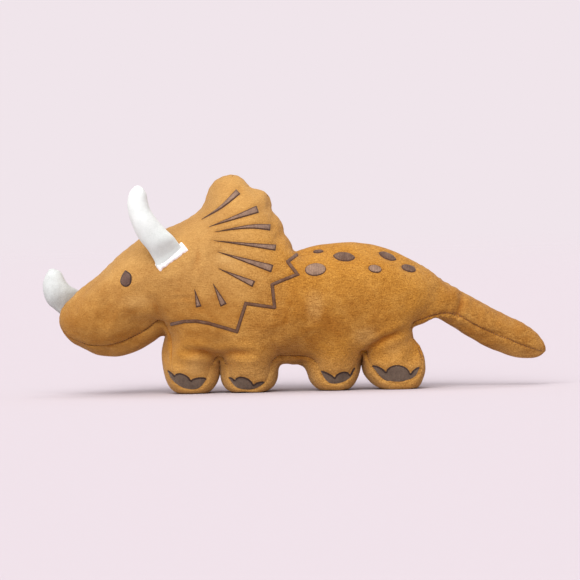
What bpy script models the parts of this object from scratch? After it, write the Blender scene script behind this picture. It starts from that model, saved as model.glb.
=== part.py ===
"""Stuffed toy dinosaur with three horns: sewn plush skin, filling, horns and embroidery.

Frame: metres, +Z up, the toy stands on its four feet, head toward -X, its left side toward -Y.
The outline lists are in millimetres as (x, z) and are turned into metres where they are used.
"""
import math

import bmesh
import bpy
import numpy as np
from mathutils import Vector
from mathutils.bvhtree import BVHTree
from mathutils.geometry import delaunay_2d_cdt

MM = 0.001

# Fabric and sewing, in millimetres
CENTRE_X = 1.8        # middle of the toy along X in the outline lists
SKIN = 1.5            # thickness of the plush with its backing
PILE_GAP = 0.6        # filling to the inside of the skin
SEAM_GAP = 0.3        # between two pieces that are sewn together
STITCH_LIFT = 0.9     # underside of the embroidery above the plush
STITCH_THICK = 0.8    # thickness of a satin stitch
THREAD = 0.5          # half width of the seam thread
EDGE_STEP = 8.0       # spacing of the points along the seams
INNER_STEP = 11.0     # spacing of the points inside a panel
RIM_STEP = 3.0        # first row of points inside the outline
GUSSET_COLUMNS = 6    # strips across the belly gusset
WIDEST = 50.0         # half width that the stuffed body can't pass
FULLNESS = 1.4        # how hard the filling pushes the panels out

# Back seam from the snout to the tail tip, with a corner where one list ends and the next begins
BACK_SEAM = [
    [(-208.4, 68.7), (-207.3, 75.8), (-203.7, 81.5), (-196.4, 88.0), (-185.5, 97.1), (-171.0, 109.3),
     (-156.4, 121.9), (-143.7, 132.3), (-129.3, 141.8), (-113.1, 147.3), (-98.7, 152.3),
     (-87.9, 157.9), (-81.6, 162.6), (-77.5, 167.9), (-75.6, 173.6), (-73.2, 180.7), (-68.6, 187.3),
     (-61.3, 192.0), (-52.4, 194.1), (-44.4, 191.7), (-39.2, 186.2), (-34.4, 180.8)],
    [(-34.4, 180.8), (-28.6, 180.2), (-22.9, 178.3), (-18.5, 173.7), (-16.9, 167.9), (-17.0, 161.2)],
    [(-17.0, 161.2), (-12.2, 156.2), (-8.8, 151.2), (-7.1, 145.4), (-6.8, 140.1)],
    [(-6.8, 140.1), (-2.9, 135.5), (0.1, 130.1), (1.8, 124.3)],
    [(1.8, 124.3), (11.2, 126.3), (25.5, 129.1), (43.4, 130.8), (61.2, 130.1), (75.4, 127.6),
     (89.6, 122.8), (103.7, 115.8), (117.7, 107.5), (135.0, 94.8)],
    [(135.0, 94.8), (148.5, 87.2), (163.0, 79.1)],
    [(163.0, 79.1), (181.1, 69.2), (198.7, 59.4), (212.7, 50.2), (220.6, 42.9), (225.3, 35.2),
     (225.7, 30.3)],
]

# Belly seam and the gusset below it: seam x, seam z, middle of the gusset x, z, gusset width
BELLY = [
    [(-208.4, 68.7, -208.4, 68.7, 0), (-206.3, 61.5, -206.9, 61.5, 8),
     (-201.6, 55.2, -202.5, 53.8, 16), (-194.5, 49.8, -195.5, 47.0, 23),
     (-184.8, 46.2, -184.9, 41.0, 29), (-172.4, 44.5, -171.7, 36.7, 34),
     (-159.9, 46.0, -157.4, 35.5, 38), (-145.5, 50.8, -141.3, 38.7, 41),
     (-131.1, 58.1, -126.0, 45.5, 43), (-117.1, 66.7, -113.0, 51.2, 45),
     (-112.3, 59.5, -113.1, 47.0, 45), (-109.0, 50.5, -114.7, 40.8, 46),
     (-108.8, 37.1, -115.8, 31.0, 48), (-109.5, 24.7, -114.5, 20.3, 48),
     (-106.6, 13.9, -109.8, 8.0, 50), (-100.1, 7.7, -101.9, -1.0, 50),
     (-92.1, 6.2, -92.2, -3.5, 50), (-84.1, 7.8, -82.3, -1.5, 50),
     (-78.1, 13.3, -73.8, 8.0, 48), (-75.3, 22.1, -68.7, 17.1, 46),
     (-72.0, 30.1, -66.9, 24.2, 44), (-66.6, 33.3, -66.4, 28.6, 43),
     (-60.9, 29.4, -65.7, 24.1, 44), (-59.7, 21.3, -64.7, 15.7, 46),
     (-56.3, 11.5, -61.3, 7.6, 48), (-50.2, 4.8, -53.0, -1.5, 50),
     (-41.4, 3.4, -41.4, -4.0, 50), (-32.4, 5.2, -29.8, -1.5, 50),
     (-24.7, 12.6, -19.4, 8.4, 48), (-21.4, 21.9, -14.8, 17.3, 46),
     (-19.6, 29.1, -12.9, 22.6, 45), (-14.0, 31.9, -8.8, 23.5, 45),
     (-0.6, 31.9, -0.8, 23.4, 45), (11.8, 31.3, 6.3, 22.5, 45),
     (18.4, 27.7, 10.6, 18.5, 45), (21.4, 19.1, 14.5, 11.7, 47),
     (26.5, 11.0, 21.5, 3.0, 49), (35.3, 6.5, 34.8, -4.0, 50),
     (45.2, 9.4, 47.8, 1.5, 49), (52.1, 17.6, 54.8, 14.0, 47),
     (55.4, 28.2, 56.9, 22.8, 45), (60.5, 37.9, 58.6, 30.8, 44),
     (65.3, 29.8, 59.9, 22.8, 46), (68.2, 20.8, 64.0, 15.1, 48),
     (74.7, 12.2, 72.4, 6.0, 50), (83.5, 6.7, 83.0, -2.0, 52),
     (93.2, 5.1, 94.1, -4.5, 52), (103.5, 7.6, 106.2, -0.5, 51),
     (110.7, 15.0, 113.0, 12.0, 49), (112.7, 26.1, 114.4, 25.2, 46),
     (109.6, 38.6, 111.6, 37.9, 43), (104.9, 50.8, 107.5, 46.2, 41),
     (104.2, 56.6, 106.7, 51.3, 40), (114.1, 61.7, 115.7, 55.2, 38),
     (125.7, 65.3, 126.5, 60.1, 36), (137.4, 66.8, 132.7, 58.6, 32)],
    [(137.4, 66.8, 132.7, 58.6, 32), (149.2, 63.3, 143.7, 53.0, 30),
     (160.3, 56.2, 156.1, 45.6, 28)],
    [(160.3, 56.2, 156.1, 45.6, 28), (173.5, 49.7, 170.6, 37.3, 26),
     (186.8, 44.1, 184.7, 30.9, 24), (199.1, 38.5, 197.5, 26.3, 21),
     (210.6, 34.0, 210.4, 24.4, 16), (220.3, 30.4, 220.2, 25.7, 9),
     (225.7, 30.3, 225.7, 30.3, 0)],
]
ZONES = ["body", "tail_root", "tail"]

# Frill rays: pointed end, middle, broad end, half width of the broad end
FRILL_RAYS = [
    ((-80.3, 154.4), (-64.4, 163.9), (-46.5, 178.9), 3.1),
    ((-74.3, 147.9), (-52.0, 155.4), (-29.7, 162.9), 3.6),
    ((-68.9, 143.7), (-30.7, 147.5), (-18.9, 146.3), 3.1),
    ((-70.5, 136.1), (-42.6, 132.3), (-14.7, 128.4), 2.0),
    ((-67.5, 126.4), (-42.9, 118.2), (-18.4, 110.0), 3.8),
    ((-66.7, 111.6), (-50.9, 104.3), (-35.1, 96.9), 3.3),
    ((-71.6, 98.8), (-66.9, 88.7), (-62.3, 78.6), 2.9),
    ((-87.8, 94.0), (-86.0, 85.7), (-84.3, 77.5), 1.8),
]
RAY_POINT = 0.5
RIBBON_STEP = 2.8     # spacing of the points along a ray or line
COLLAR = [(-0.5, 118.8), (-5.0, 115.9), (3.3, 104.6), (-19.4, 96.2), (-17.6, 75.9), (-43.0, 80.1),
          (-51.3, 55.5), (-62.4, 59.1), (-76.3, 65.4), (-87.3, 68.5), (-97.2, 69.4), (-106.0, 70.5)]
COLLAR_HALF = 1.7
NAIL_ROWS = 3
# Back spots: centre, half length, half height, tilt in degrees
BACK_SPOTS = [
    (24.4, 122.4, 5.3, 1.8, 3.8), (46.9, 119.0, 10.3, 4.0, -6.2), (21.1, 108.4, 9.8, 5.6, 3.8),
    (84.0, 116.5, 8.9, 3.0, -23.2), (73.7, 105.8, 6.3, 3.7, -11.2), (102.5, 105.0, 7.1, 3.4, -19.2),
]
EYE = [(-148.0, 111.9), (-150.9, 107.4), (-153.5, 102.6), (-152.3, 98.5), (-148.3, 96.5),
       (-144.2, 98.6), (-142.3, 103.6), (-145.1, 107.6)]
# Toenails, one list for each foot from the front: x, upper edge z, lower edge z
TOENAILS = [
    [(-105.2, 18.3, 15.3), (-99.8, 19.1, 10.7), (-92.8, 14.6, 9.3), (-85.7, 15.3, 10.3),
     (-80.3, 18.5, 15.7)],
    [(-51.9, 12.4, 9.3), (-46.5, 13.2, 6.8), (-41.2, 9.9, 6.4), (-35.9, 9.0, 6.8),
     (-30.5, 12.0, 9.6)],
    [(26.9, 18.7, 14.3), (30.3, 16.4, 11.2), (35.5, 14.0, 9.5), (41.8, 17.5, 11.2),
     (46.1, 17.9, 14.0)],
    [(72.3, 22.6, 18.5), (76.6, 19.5, 13.6), (82.9, 17.9, 9.9), (91.0, 22.1, 8.2),
     (98.0, 18.5, 8.8), (104.2, 19.0, 11.6), (108.2, 22.1, 17.6)],
]

# Horn outlines: rear edge, front edge and thickness across, from the base to the last ring
NOSE_HORN = [((-207.2, 75.5), (-191.0, 94.5), 2.2), ((-212.0, 79.5), (-192.6, 96.6), 5.5),
             ((-217.3, 83.0), (-196.0, 98.2), 7.8), ((-220.8, 89.5), (-200.2, 101.8), 9.0),
             ((-222.1, 96.2), (-203.4, 105.4), 8.6), ((-221.6, 102.6), (-205.6, 109.0), 7.4),
             ((-218.4, 109.0), (-208.0, 111.6), 5.2)]
NOSE_HORN_TIP = (-215.0, 112.6)
NOSE_HORN_LIFT = 1.1
BROW_HORN = [((-122.0, 118.6), (-101.5, 132.4), 2.2), ((-126.6, 127.6), (-104.2, 138.0), 6.0),
             ((-134.4, 138.0), (-112.1, 147.6), 9.0), ((-140.6, 149.5), (-119.8, 156.2), 10.0),
             ((-144.3, 161.0), (-125.2, 165.7), 9.3), ((-145.4, 170.5), (-127.0, 173.0), 8.6),
             ((-144.3, 178.7), (-128.2, 180.4), 7.0), ((-140.8, 184.0), (-131.6, 184.4), 4.2)]
BROW_HORN_TIP = (-136.0, 186.9)
BROW_HORN_SPLAY = math.radians(14)
HEM_LINE = [(-118.6, 114.6), (-112.6, 118.9), (-104.4, 124.6), (-98.6, 128.7)]
HEM_HALF = 3.1
HORN_WALL = 1.2
HORN_SIDES = 14

COLOURS = {
    "plush_orange_brown": ((0.47, 0.19, 0.045), 0.95),
    "plush_horn_white": ((0.80, 0.78, 0.74), 0.95),
    "thread_taupe": ((0.34, 0.25, 0.22), 0.55),
    "thread_dark_brown": ((0.06, 0.03, 0.02), 0.60),
    "fibre_filling": ((0.90, 0.90, 0.88), 0.90),
}


def smooth_path(points, step):
    """Cubic path through the points, at equal spacing, with its first and last points kept."""
    p = np.array(points, float)
    gap = np.linalg.norm(np.diff(p[:, :2], axis=0), axis=1)
    s = np.concatenate([[0.0], np.cumsum(gap)])
    slope = np.gradient(p, s, axis=0) if len(p) > 2 else np.tile((p[-1] - p[0]) / s[-1], (len(p), 1))
    fine = np.linspace(0.0, s[-1], 1 + 12 * len(p))
    k = np.clip(np.searchsorted(s, fine, side="right") - 1, 0, len(p) - 2)
    h = (s[k + 1] - s[k])[:, None]
    t = ((fine - s[k]) / h[:, 0])[:, None]
    curve = ((2 * t**3 - 3 * t**2 + 1) * p[k] + (t**3 - 2 * t**2 + t) * h * slope[k]
             + (3 * t**2 - 2 * t**3) * p[k + 1] + (t**3 - t**2) * h * slope[k + 1])
    run = np.concatenate([[0.0], np.cumsum(np.linalg.norm(np.diff(curve[:, :2], axis=0), axis=1))])
    count = max(2, int(round(run[-1] / step)) + 1)
    even = np.linspace(0.0, run[-1], count)
    return np.stack([np.interp(even, run, curve[:, c]) for c in range(p.shape[1])], axis=1)


def inside(points, outline):
    """True for each point that the closed outline goes round."""
    a = outline
    b = np.roll(outline, -1, axis=0)
    px = points[:, None, 0]
    pz = points[:, None, 1]
    spans = (a[:, 1] > pz) != (b[:, 1] > pz)
    rise = np.where(b[:, 1] == a[:, 1], 1e-9, b[:, 1] - a[:, 1])
    crossing = a[:, 0] + (pz - a[:, 1]) / rise * (b[:, 0] - a[:, 0])
    return (np.sum(spans & (px < crossing), axis=1) % 2) == 1


def outline_distance(points, outline):
    """Distance from each point to the closed outline."""
    a = outline
    d = np.roll(outline, -1, axis=0) - a
    rel = points[:, None, :] - a
    t = np.clip(np.sum(rel * d, axis=2) / np.sum(d * d, axis=1), 0.0, 1.0)
    return np.min(np.linalg.norm(rel - t[:, :, None] * d, axis=2), axis=1)


def panel_pattern():
    """Flat pattern of one side panel as points, triangles, edge lists and the cut lines."""
    back = [smooth_path(part, EDGE_STEP) for part in BACK_SEAM]
    belly = [smooth_path(part, EDGE_STEP) for part in BELLY]
    back_line = np.concatenate([back[0]] + [b[1:] for b in back[1:]])
    stations = np.concatenate([belly[0]] + [b[1:] for b in belly[1:]])
    cut_back = [sum(len(b) - 1 for b in back[:5]), sum(len(b) - 1 for b in back[:6])]
    cut_belly = [len(belly[0]) - 1, len(belly[0]) + len(belly[1]) - 2]
    outline = np.concatenate([back_line, stations[-2:0:-1, :2]])
    back_ids = np.arange(len(back_line))
    seam_ids = np.concatenate([[0], np.arange(len(outline) - 1, len(back_line) - 1, -1),
                               [len(back_line) - 1]])
    cuts = []
    inner = []
    for c in range(2):
        start = outline[back_ids[cut_back[c]]]
        end = outline[seam_ids[cut_belly[c]]]
        cuts.append((start, end))
        inner.append(start + (end - start) * np.linspace(0.0, 1.0, 5)[1:-1, None])
    along = np.roll(outline, -1, axis=0) - np.roll(outline, 1, axis=0)
    inward = np.stack([along[:, 1], -along[:, 0]], axis=1)
    inward /= np.linalg.norm(inward, axis=1)[:, None]
    rim = outline + inward * RIM_STEP
    columns = np.arange(-210.0, 230.0, INNER_STEP)
    rows = np.arange(0.0, 200.0, INNER_STEP * math.sqrt(3) / 2)
    lattice = np.stack(np.meshgrid(columns, rows), axis=-1)
    lattice[1::2, :, 0] += INNER_STEP / 2
    lattice = lattice.reshape(-1, 2)
    rim = rim[inside(rim, outline) & (outline_distance(rim, outline) > 0.85 * RIM_STEP)]
    lattice = lattice[inside(lattice, outline) & (outline_distance(lattice, outline) > 2.6 * RIM_STEP)]
    for line in inner:
        near = np.min(np.linalg.norm(lattice[:, None] - line[None], axis=2), axis=1)
        lattice = lattice[near > 0.55 * INNER_STEP]
        near = np.min(np.linalg.norm(rim[:, None] - line[None], axis=2), axis=1)
        rim = rim[near > 0.4 * INNER_STEP]
    points = np.concatenate([outline, inner[0], inner[1], rim, lattice])
    n = len(outline)
    edges = [(i, (i + 1) % n) for i in range(n)]
    for c in range(2):
        ids = [back_ids[cut_back[c]]] + list(range(n + 3 * c, n + 3 * c + 3)) + [seam_ids[cut_belly[c]]]
        edges += [(int(a), int(b)) for a, b in zip(ids, ids[1:])]
    out = delaunay_2d_cdt([Vector(p) for p in points], edges, [], 0, 1e-4)
    placed = np.array([list(v) for v in out[0]])
    triangles = np.array(out[2])
    centre = placed[triangles].mean(axis=1)
    triangles = triangles[inside(centre, outline)]
    p = placed[triangles]
    turn = (p[:, 1, 0] - p[:, 0, 0]) * (p[:, 2, 1] - p[:, 0, 1]) \
        - (p[:, 1, 1] - p[:, 0, 1]) * (p[:, 2, 0] - p[:, 0, 0])
    triangles[turn < 0] = triangles[turn < 0][:, ::-1]
    triangles = triangles[np.abs(turn) > 1e-3]
    return placed, triangles, back_ids, seam_ids, stations, cuts, cut_belly


def side_of(points, line):
    """Positive for the points on the tail side of a cut line that runs down from the back."""
    a, b = line
    return (b[0] - a[0]) * (points[:, 1] - a[1]) - (b[1] - a[1]) * (points[:, 0] - a[0])


def stuffed_height(points, triangles, back_ids, seam_ids, stations):
    """How far each panel point stands off the middle plane.

    The square of the height is the shape of a skin blown up over the pattern: it is zero on
    the back seam and half the gusset width, squared, on the belly seam.
    """
    n = len(points)
    p = points[triangles]
    area = 0.5 * np.abs((p[:, 1, 0] - p[:, 0, 0]) * (p[:, 2, 1] - p[:, 0, 1])
                        - (p[:, 1, 1] - p[:, 0, 1]) * (p[:, 2, 0] - p[:, 0, 0]))
    stiff = np.zeros((n, n))
    push = np.zeros(n)
    opposite = [p[:, 2] - p[:, 1], p[:, 0] - p[:, 2], p[:, 1] - p[:, 0]]
    for i in range(3):
        np.add.at(push, triangles[:, i], 2.0 * FULLNESS * area / 3.0)
        for j in range(3):
            value = np.sum(opposite[i] * opposite[j], axis=1) / (4.0 * area)
            np.add.at(stiff, (triangles[:, i], triangles[:, j]), value)
    height2 = np.zeros(n)
    height2[seam_ids] = (stations[:, 4] / 2.0) ** 2
    fixed = np.zeros(n, bool)
    fixed[back_ids] = True
    fixed[seam_ids] = True
    free = ~fixed
    known = push[free] - stiff[np.ix_(free, fixed)] @ height2[fixed]
    height2[free] = np.linalg.solve(stiff[np.ix_(free, free)], known)
    height = np.sqrt(np.maximum(height2, 0.0))
    return height / (1.0 + (height / WIDEST) ** 6) ** (1.0 / 6.0)


def point_normals(points, triangles):
    """Unit normal at every point, from the triangles round it."""
    p = points[triangles]
    face = np.cross(p[:, 1] - p[:, 0], p[:, 2] - p[:, 0])
    normal = np.zeros_like(points)
    for i in range(3):
        a = p[:, (i + 1) % 3] - p[:, i]
        b = p[:, (i + 2) % 3] - p[:, i]
        cosine = np.sum(a * b, axis=1) / (np.linalg.norm(a, axis=1) * np.linalg.norm(b, axis=1))
        angle = np.arccos(np.clip(cosine, -1.0, 1.0))
        np.add.at(normal, triangles[:, i],
                  face / np.linalg.norm(face, axis=1)[:, None] * angle[:, None])
    return normal / np.linalg.norm(normal, axis=1)[:, None]


def whole_skin():
    """Outer face of the whole skin with its regions, welded along all seams."""
    flat, triangles, back_ids, seam_ids, stations, cuts, cut_belly = panel_pattern()
    height = stuffed_height(flat, triangles, back_ids, seam_ids, stations)
    n = len(flat)
    left = np.stack([flat[:, 0], -height, flat[:, 1]], axis=1)
    right = left * [1.0, -1.0, 1.0]
    right_ids = np.full(n, -1)
    right_ids[back_ids] = back_ids
    loose = np.where(right_ids < 0)[0]
    right_ids[loose] = n + np.arange(len(loose))
    t = np.linspace(-1.0, 1.0, GUSSET_COLUMNS + 1)[1:-1] * math.pi / 2
    seam = stations[1:-1, None, 0:2]
    low = stations[1:-1, None, 2:4]
    arc = seam + (low - seam) * np.cos(t)[None, :, None]
    across = stations[1:-1, 4][:, None] / 2.0 * np.sin(t)[None, :]
    gusset = np.stack([arc[..., 0], across, np.maximum(arc[..., 1], 0.0)], axis=-1)
    first = n + len(loose)
    points = np.concatenate([left, right[loose], gusset.reshape(-1, 3)])
    rows = len(stations)
    table = np.zeros((rows, GUSSET_COLUMNS + 1), int)
    table[:, 0] = seam_ids
    table[:, -1] = right_ids[seam_ids]
    table[1:-1, 1:-1] = first + np.arange((rows - 2) * (GUSSET_COLUMNS - 1)).reshape(rows - 2, -1)
    table[0, :] = seam_ids[0]
    table[-1, :] = seam_ids[-1]
    a, b = table[:-1, :-1], table[:-1, 1:]
    c, d = table[1:, 1:], table[1:, :-1]
    lower = np.concatenate([np.stack([a, b, c], -1).reshape(-1, 3), np.stack([a, c, d], -1).reshape(-1, 3)])
    row_of = np.tile(np.repeat(np.arange(rows - 1), GUSSET_COLUMNS), 2)
    whole = (lower[:, 0] != lower[:, 1]) & (lower[:, 1] != lower[:, 2]) & (lower[:, 0] != lower[:, 2])
    lower, row_of = lower[whole], row_of[whole]
    centre = flat[triangles].mean(axis=1)
    zone = (side_of(centre, cuts[0]) > 0).astype(int) + (side_of(centre, cuts[1]) > 0).astype(int)
    low_zone = (row_of >= cut_belly[0]).astype(int) + (row_of >= cut_belly[1]).astype(int)
    faces = np.concatenate([triangles, right_ids[triangles][:, ::-1], lower])
    part = np.repeat([0, 1, 2], [len(triangles), len(triangles), len(lower)])
    zones = np.concatenate([zone, zone, low_zone])
    return points, faces, part, zones, table


def make_object(name, points, faces, colour, smooth=True):
    """Mesh object from points in millimetres, with its faces turned outward."""
    mesh = bpy.data.meshes.new(name)
    used = np.unique(np.concatenate([np.ravel(f) for f in faces])) if len(faces) else []
    renumber = np.full(len(points), -1)
    renumber[used] = np.arange(len(used))
    placed = (np.asarray(points)[used] - [CENTRE_X, 0.0, 0.0]) * MM
    mesh.from_pydata(placed.tolist(), [],
                     [[int(renumber[v]) for v in f] for f in faces])
    solid = bmesh.new()
    solid.from_mesh(mesh)
    bmesh.ops.recalc_face_normals(solid, faces=solid.faces)
    solid.to_mesh(mesh)
    solid.free()
    mesh.polygons.foreach_set("use_smooth", [smooth] * len(mesh.polygons))
    mesh.materials.append(MATERIALS[colour])
    obj = bpy.data.objects.new(name, mesh)
    bpy.context.collection.objects.link(obj)
    return obj


def rim_edges(faces):
    """Edges that only one of the faces has, in the direction of that face."""
    run = np.concatenate([faces[:, [0, 1]], faces[:, [1, 2]], faces[:, [2, 0]]])
    seen = {(int(a), int(b)) for a, b in run}
    return [(int(a), int(b)) for a, b in run if (int(b), int(a)) not in seen]


def layer(name, outer, inner, faces, colour):
    """Closed piece of cloth between an outer and an inner face."""
    n = len(outer)
    shell = [tuple(f) for f in faces] + [tuple(f[::-1] + n) for f in faces]
    shell += [(b, a, a + n, b + n) for a, b in rim_edges(faces)]
    return make_object(name, np.concatenate([outer, inner]), shell, colour)


def trim_zone(points, zone_ids, shift_ids, step):
    """Points of one zone drawn back along X from its cuts."""
    moved = points.copy()
    for ids, direction in shift_ids:
        mine = np.intersect1d(ids, zone_ids)
        moved[mine, 0] += direction * step
    return moved


def build_skin():
    """Side panels and belly gusset, in the three zones that the tail's bend makes."""
    for zone, zone_name in enumerate(ZONES):
        mine = ZONE == zone
        zone_ids = np.unique(FACES[mine])
        shifts = []
        for other in (zone - 1, zone + 1):
            if 0 <= other < len(ZONES):
                shared = np.intersect1d(zone_ids, np.unique(FACES[ZONE == other]))
                shifts.append((shared, 1.0 if other < zone else -1.0))
        outer = trim_zone(OUTER, zone_ids, shifts, SEAM_GAP / 2)
        inner = trim_zone(OUTER - NORMALS * SKIN, zone_ids, shifts, SEAM_GAP / 2)
        if zone_name == "tail_root":
            layer("tail_root_skin", outer, inner, FACES[mine], "plush_orange_brown")
        else:
            for part, part_name in enumerate(["left_panel", "right_panel", "belly_gusset"]):
                faces = FACES[mine & (PART == part)]
                front, back = outer.copy(), inner.copy()
                if part < 2:
                    sign = -1.0 if part == 0 else 1.0
                    for sheet in (front, back):
                        sheet[:, 1] = sign * np.maximum(sign * sheet[:, 1], SEAM_GAP / 2)
                else:
                    for side, step in ((0, 1), (-1, -2)):
                        edge, next_in = TABLE[1:-1, side], TABLE[1:-1, step]
                        for sheet in (front, back):
                            pull = OUTER[next_in] - OUTER[edge]
                            pull /= np.linalg.norm(pull, axis=1)[:, None]
                            sheet[edge] += pull * SEAM_GAP * 1.4
                layer(zone_name + "_" + part_name, front, back, faces, "plush_orange_brown")
        build_filling(zone_name, mine, zone_ids, shifts)


def build_filling(zone_name, mine, zone_ids, shifts):
    """Fibre filling of one zone, closed with a flat fan at each cut."""
    core = trim_zone(OUTER - NORMALS * (SKIN + PILE_GAP), zone_ids, shifts, SEAM_GAP / 2)
    faces = [tuple(f) for f in FACES[mine]]
    points = core
    edges = rim_edges(FACES[mine])
    for shared, _ in shifts:
        ring = [(a, b) for a, b in edges if a in set(shared.tolist()) and b in set(shared.tolist())]
        hub = len(points)
        ids = np.unique(np.array(ring))
        points = np.concatenate([points, core[ids].mean(axis=0)[None]])
        faces += [(b, a, hub) for a, b in ring]
    make_object(zone_name + "_filling", points, faces, "fibre_filling")


def lay_on(flat, side):
    """Points (x, z) carried across onto the skin on one side, side -1 is the left."""
    found = []
    for x, z in flat:
        hit = TREE.ray_cast(Vector((x, side * 200.0, z)), Vector((0.0, -side, 0.0)))
        found.append(list(hit[0]) if hit[0] is not None else [x, 0.0, z])
    return np.array(found)


def applique(name, flat, faces, side, colour, lift=STITCH_LIFT, thick=STITCH_THICK):
    """Thin embroidered patch that follows the skin."""
    faces = np.array(faces)
    laid = lay_on(flat, side)
    if side > 0:
        faces = faces[:, ::-1]
    p = laid[faces]
    normal = np.zeros_like(laid)
    face_normal = np.cross(p[:, 1] - p[:, 0], p[:, 2] - p[:, 0])
    for i in range(3):
        np.add.at(normal, faces[:, i], face_normal)
    normal /= np.linalg.norm(normal, axis=1)[:, None]
    if np.sum(normal[:, 1]) * side < 0:
        normal = -normal
    layer(name, laid + normal * (lift + thick), laid + normal * lift, faces, colour)


def ribbon(path, half_widths):
    """Flat strip of triangles along a path of (x, z) points, mitred at its corners."""
    path = np.array(path)
    unit = np.diff(path, axis=0)
    unit /= np.linalg.norm(unit, axis=1)[:, None]
    before = np.concatenate([unit[:1], unit])
    after = np.concatenate([unit, unit[-1:]])
    mitre = before + after
    mitre /= np.linalg.norm(mitre, axis=1)[:, None]
    reach = np.minimum(1.0 / np.maximum(np.sum(mitre * after, axis=1), 0.1), 2.2)
    across = np.stack([-mitre[:, 1], mitre[:, 0]], axis=1) * (reach * np.array(half_widths))[:, None]
    n = len(path)
    faces = []
    for i in range(n - 1):
        faces += [(i, i + 1, n + i + 1), (i, n + i + 1, n + i)]
    return np.concatenate([path - across, path + across]), faces


def densify(points, step):
    """Straight runs between the points, cut to pieces no longer than the step."""
    out = [points[0]]
    for a, b in zip(points, points[1:]):
        count = max(1, int(math.ceil(math.dist(a, b) / step)))
        out += [(a[0] + (b[0] - a[0]) * k / count, a[1] + (b[1] - a[1]) * k / count)
                for k in range(1, count + 1)]
    return out


def rounded_patch(rim):
    """Patch filled in from its closed rim, with one ring between the rim and the middle."""
    rim = np.array(rim)
    middle = rim.mean(axis=0)
    n = len(rim)
    points = np.concatenate([middle[None], middle + (rim - middle) * 0.55, rim])
    faces = []
    for i in range(n):
        j = (i + 1) % n
        faces += [(0, 1 + i, 1 + j), (1 + i, 1 + n + i, 1 + n + j), (1 + i, 1 + n + j, 1 + j)]
    return points, faces


def build_embroidery():
    """Eyes, frill rays, collar line, back spots and toenails on both sides."""
    for side, side_name in ((-1, "left"), (1, "right")):
        points, faces = rounded_patch(EYE)
        applique(side_name + "_eye", points, faces, side, "thread_dark_brown")
        for i, (tip, mid, end, half) in enumerate(FRILL_RAYS):
            path = smooth_path([tip, mid, end], RIBBON_STEP)
            widths = np.linspace(RAY_POINT, half, len(path))
            points, faces = ribbon(path, widths)
            applique("%s_frill_ray_%d" % (side_name, i + 1), points, faces, side, "thread_taupe")
        path = densify(COLLAR, RIBBON_STEP)
        points, faces = ribbon(path, [COLLAR_HALF] * len(path))
        applique(side_name + "_collar_line", points, faces, side, "thread_taupe")
        for i, (x, z, long, high, tilt) in enumerate(BACK_SPOTS):
            a = np.linspace(0.0, 2.0 * math.pi, 12, endpoint=False)
            turn = math.radians(tilt)
            u, v = long * np.cos(a), high * np.sin(a)
            rim = np.stack([x + u * math.cos(turn) - v * math.sin(turn),
                            z + u * math.sin(turn) + v * math.cos(turn)], axis=1)
            points, faces = rounded_patch(rim)
            applique("%s_back_spot_%d" % (side_name, i + 1), points, faces, side, "thread_taupe")
        for i, nail in enumerate(TOENAILS):
            line = smooth_path(nail, RIBBON_STEP)
            top, low = line[:, :2], line[:, ::2]
            n = len(line)
            points = np.concatenate([top + (low - top) * row / NAIL_ROWS
                                     for row in range(NAIL_ROWS + 1)])
            faces = []
            for row in range(NAIL_ROWS):
                for k in range(n - 1):
                    a = row * n + k
                    faces += [(a, a + 1, a + n + 1), (a, a + n + 1, a + n)]
            applique("%s_toenails_%d" % (side_name, i + 1), points, faces, side, "thread_taupe")


def build_seam_thread():
    """Square thread along each belly seam, from the snout to the bend of the tail."""
    for column, side_name in ((0, "left"), (-1, "right")):
        ids = TABLE[1:-1, column]
        ids = ids[np.isin(ids, np.unique(FACES[ZONE == 0]))][:-1]
        middle = OUTER[ids] + NORMALS[ids] * (SEAM_GAP + THREAD * 1.5)
        along = np.gradient(middle, axis=0)
        along /= np.linalg.norm(along, axis=1)[:, None]
        side = np.cross(along, NORMALS[ids])
        side /= np.linalg.norm(side, axis=1)[:, None]
        up = np.cross(side, along)
        corners = [(-1, -1), (1, -1), (1, 1), (-1, 1)]
        rings = np.stack([middle + side * THREAD * a + up * THREAD * b for a, b in corners], axis=1)
        points = rings.reshape(-1, 3)
        points[:, 2] = np.maximum(points[:, 2], 0.2)
        n = len(ids)
        faces = [(3, 2, 1, 0), tuple(4 * (n - 1) + k for k in range(4))]
        for i in range(n - 1):
            for k in range(4):
                m = (k + 1) % 4
                faces.append((4 * i + k, 4 * i + m, 4 * i + 4 + m, 4 * i + 4 + k))
        make_object(side_name + "_belly_seam_thread", points, faces, "thread_dark_brown")


def horn_rings(sections, centres, wall):
    """Rings of a horn cover, drawn in by the wall from its outer face."""
    angle = np.linspace(0.0, 2.0 * math.pi, HORN_SIDES, endpoint=False)
    rings = []
    for (rear, front, half), middle in zip(sections, centres):
        span = np.array([front[0] - rear[0], 0.0, front[1] - rear[1]]) / 2
        reach = np.linalg.norm(span)
        span = span / reach
        rings.append(middle + np.outer(np.cos(angle) * (reach - wall), span)
                     + np.outer(np.sin(angle) * (half - wall), [0.0, 1.0, 0.0]))
    return np.array(rings)


def horn_centres(sections, tip, side, splay):
    """Middle of each ring and the tip; a horn on a side leans out from the head."""
    flat = np.array([((r[0] + f[0]) / 2, (r[1] + f[1]) / 2) for r, f, _ in sections] + [tip])
    out = np.zeros(len(flat))
    if side:
        half = np.array([h for _, _, h in sections] + [0.0])
        ring = horn_rings(sections[:1], [np.array([flat[0, 0], 0.0, flat[0, 1]])], 0.0)[0]
        start = np.max(np.abs(lay_on(ring[:, [0, 2]], side)[:, 1])) + SEAM_GAP + half[0]
        run = np.concatenate([[0.0], np.cumsum(np.linalg.norm(np.diff(flat, axis=0), axis=1))])
        belly_out = half - half[0]
        out = side * (start + np.tan(splay) * run + np.where(run < 30, belly_out * (1 - run / 30), 0.0))
    return np.stack([flat[:, 0], out, flat[:, 1]], axis=1)


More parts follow.
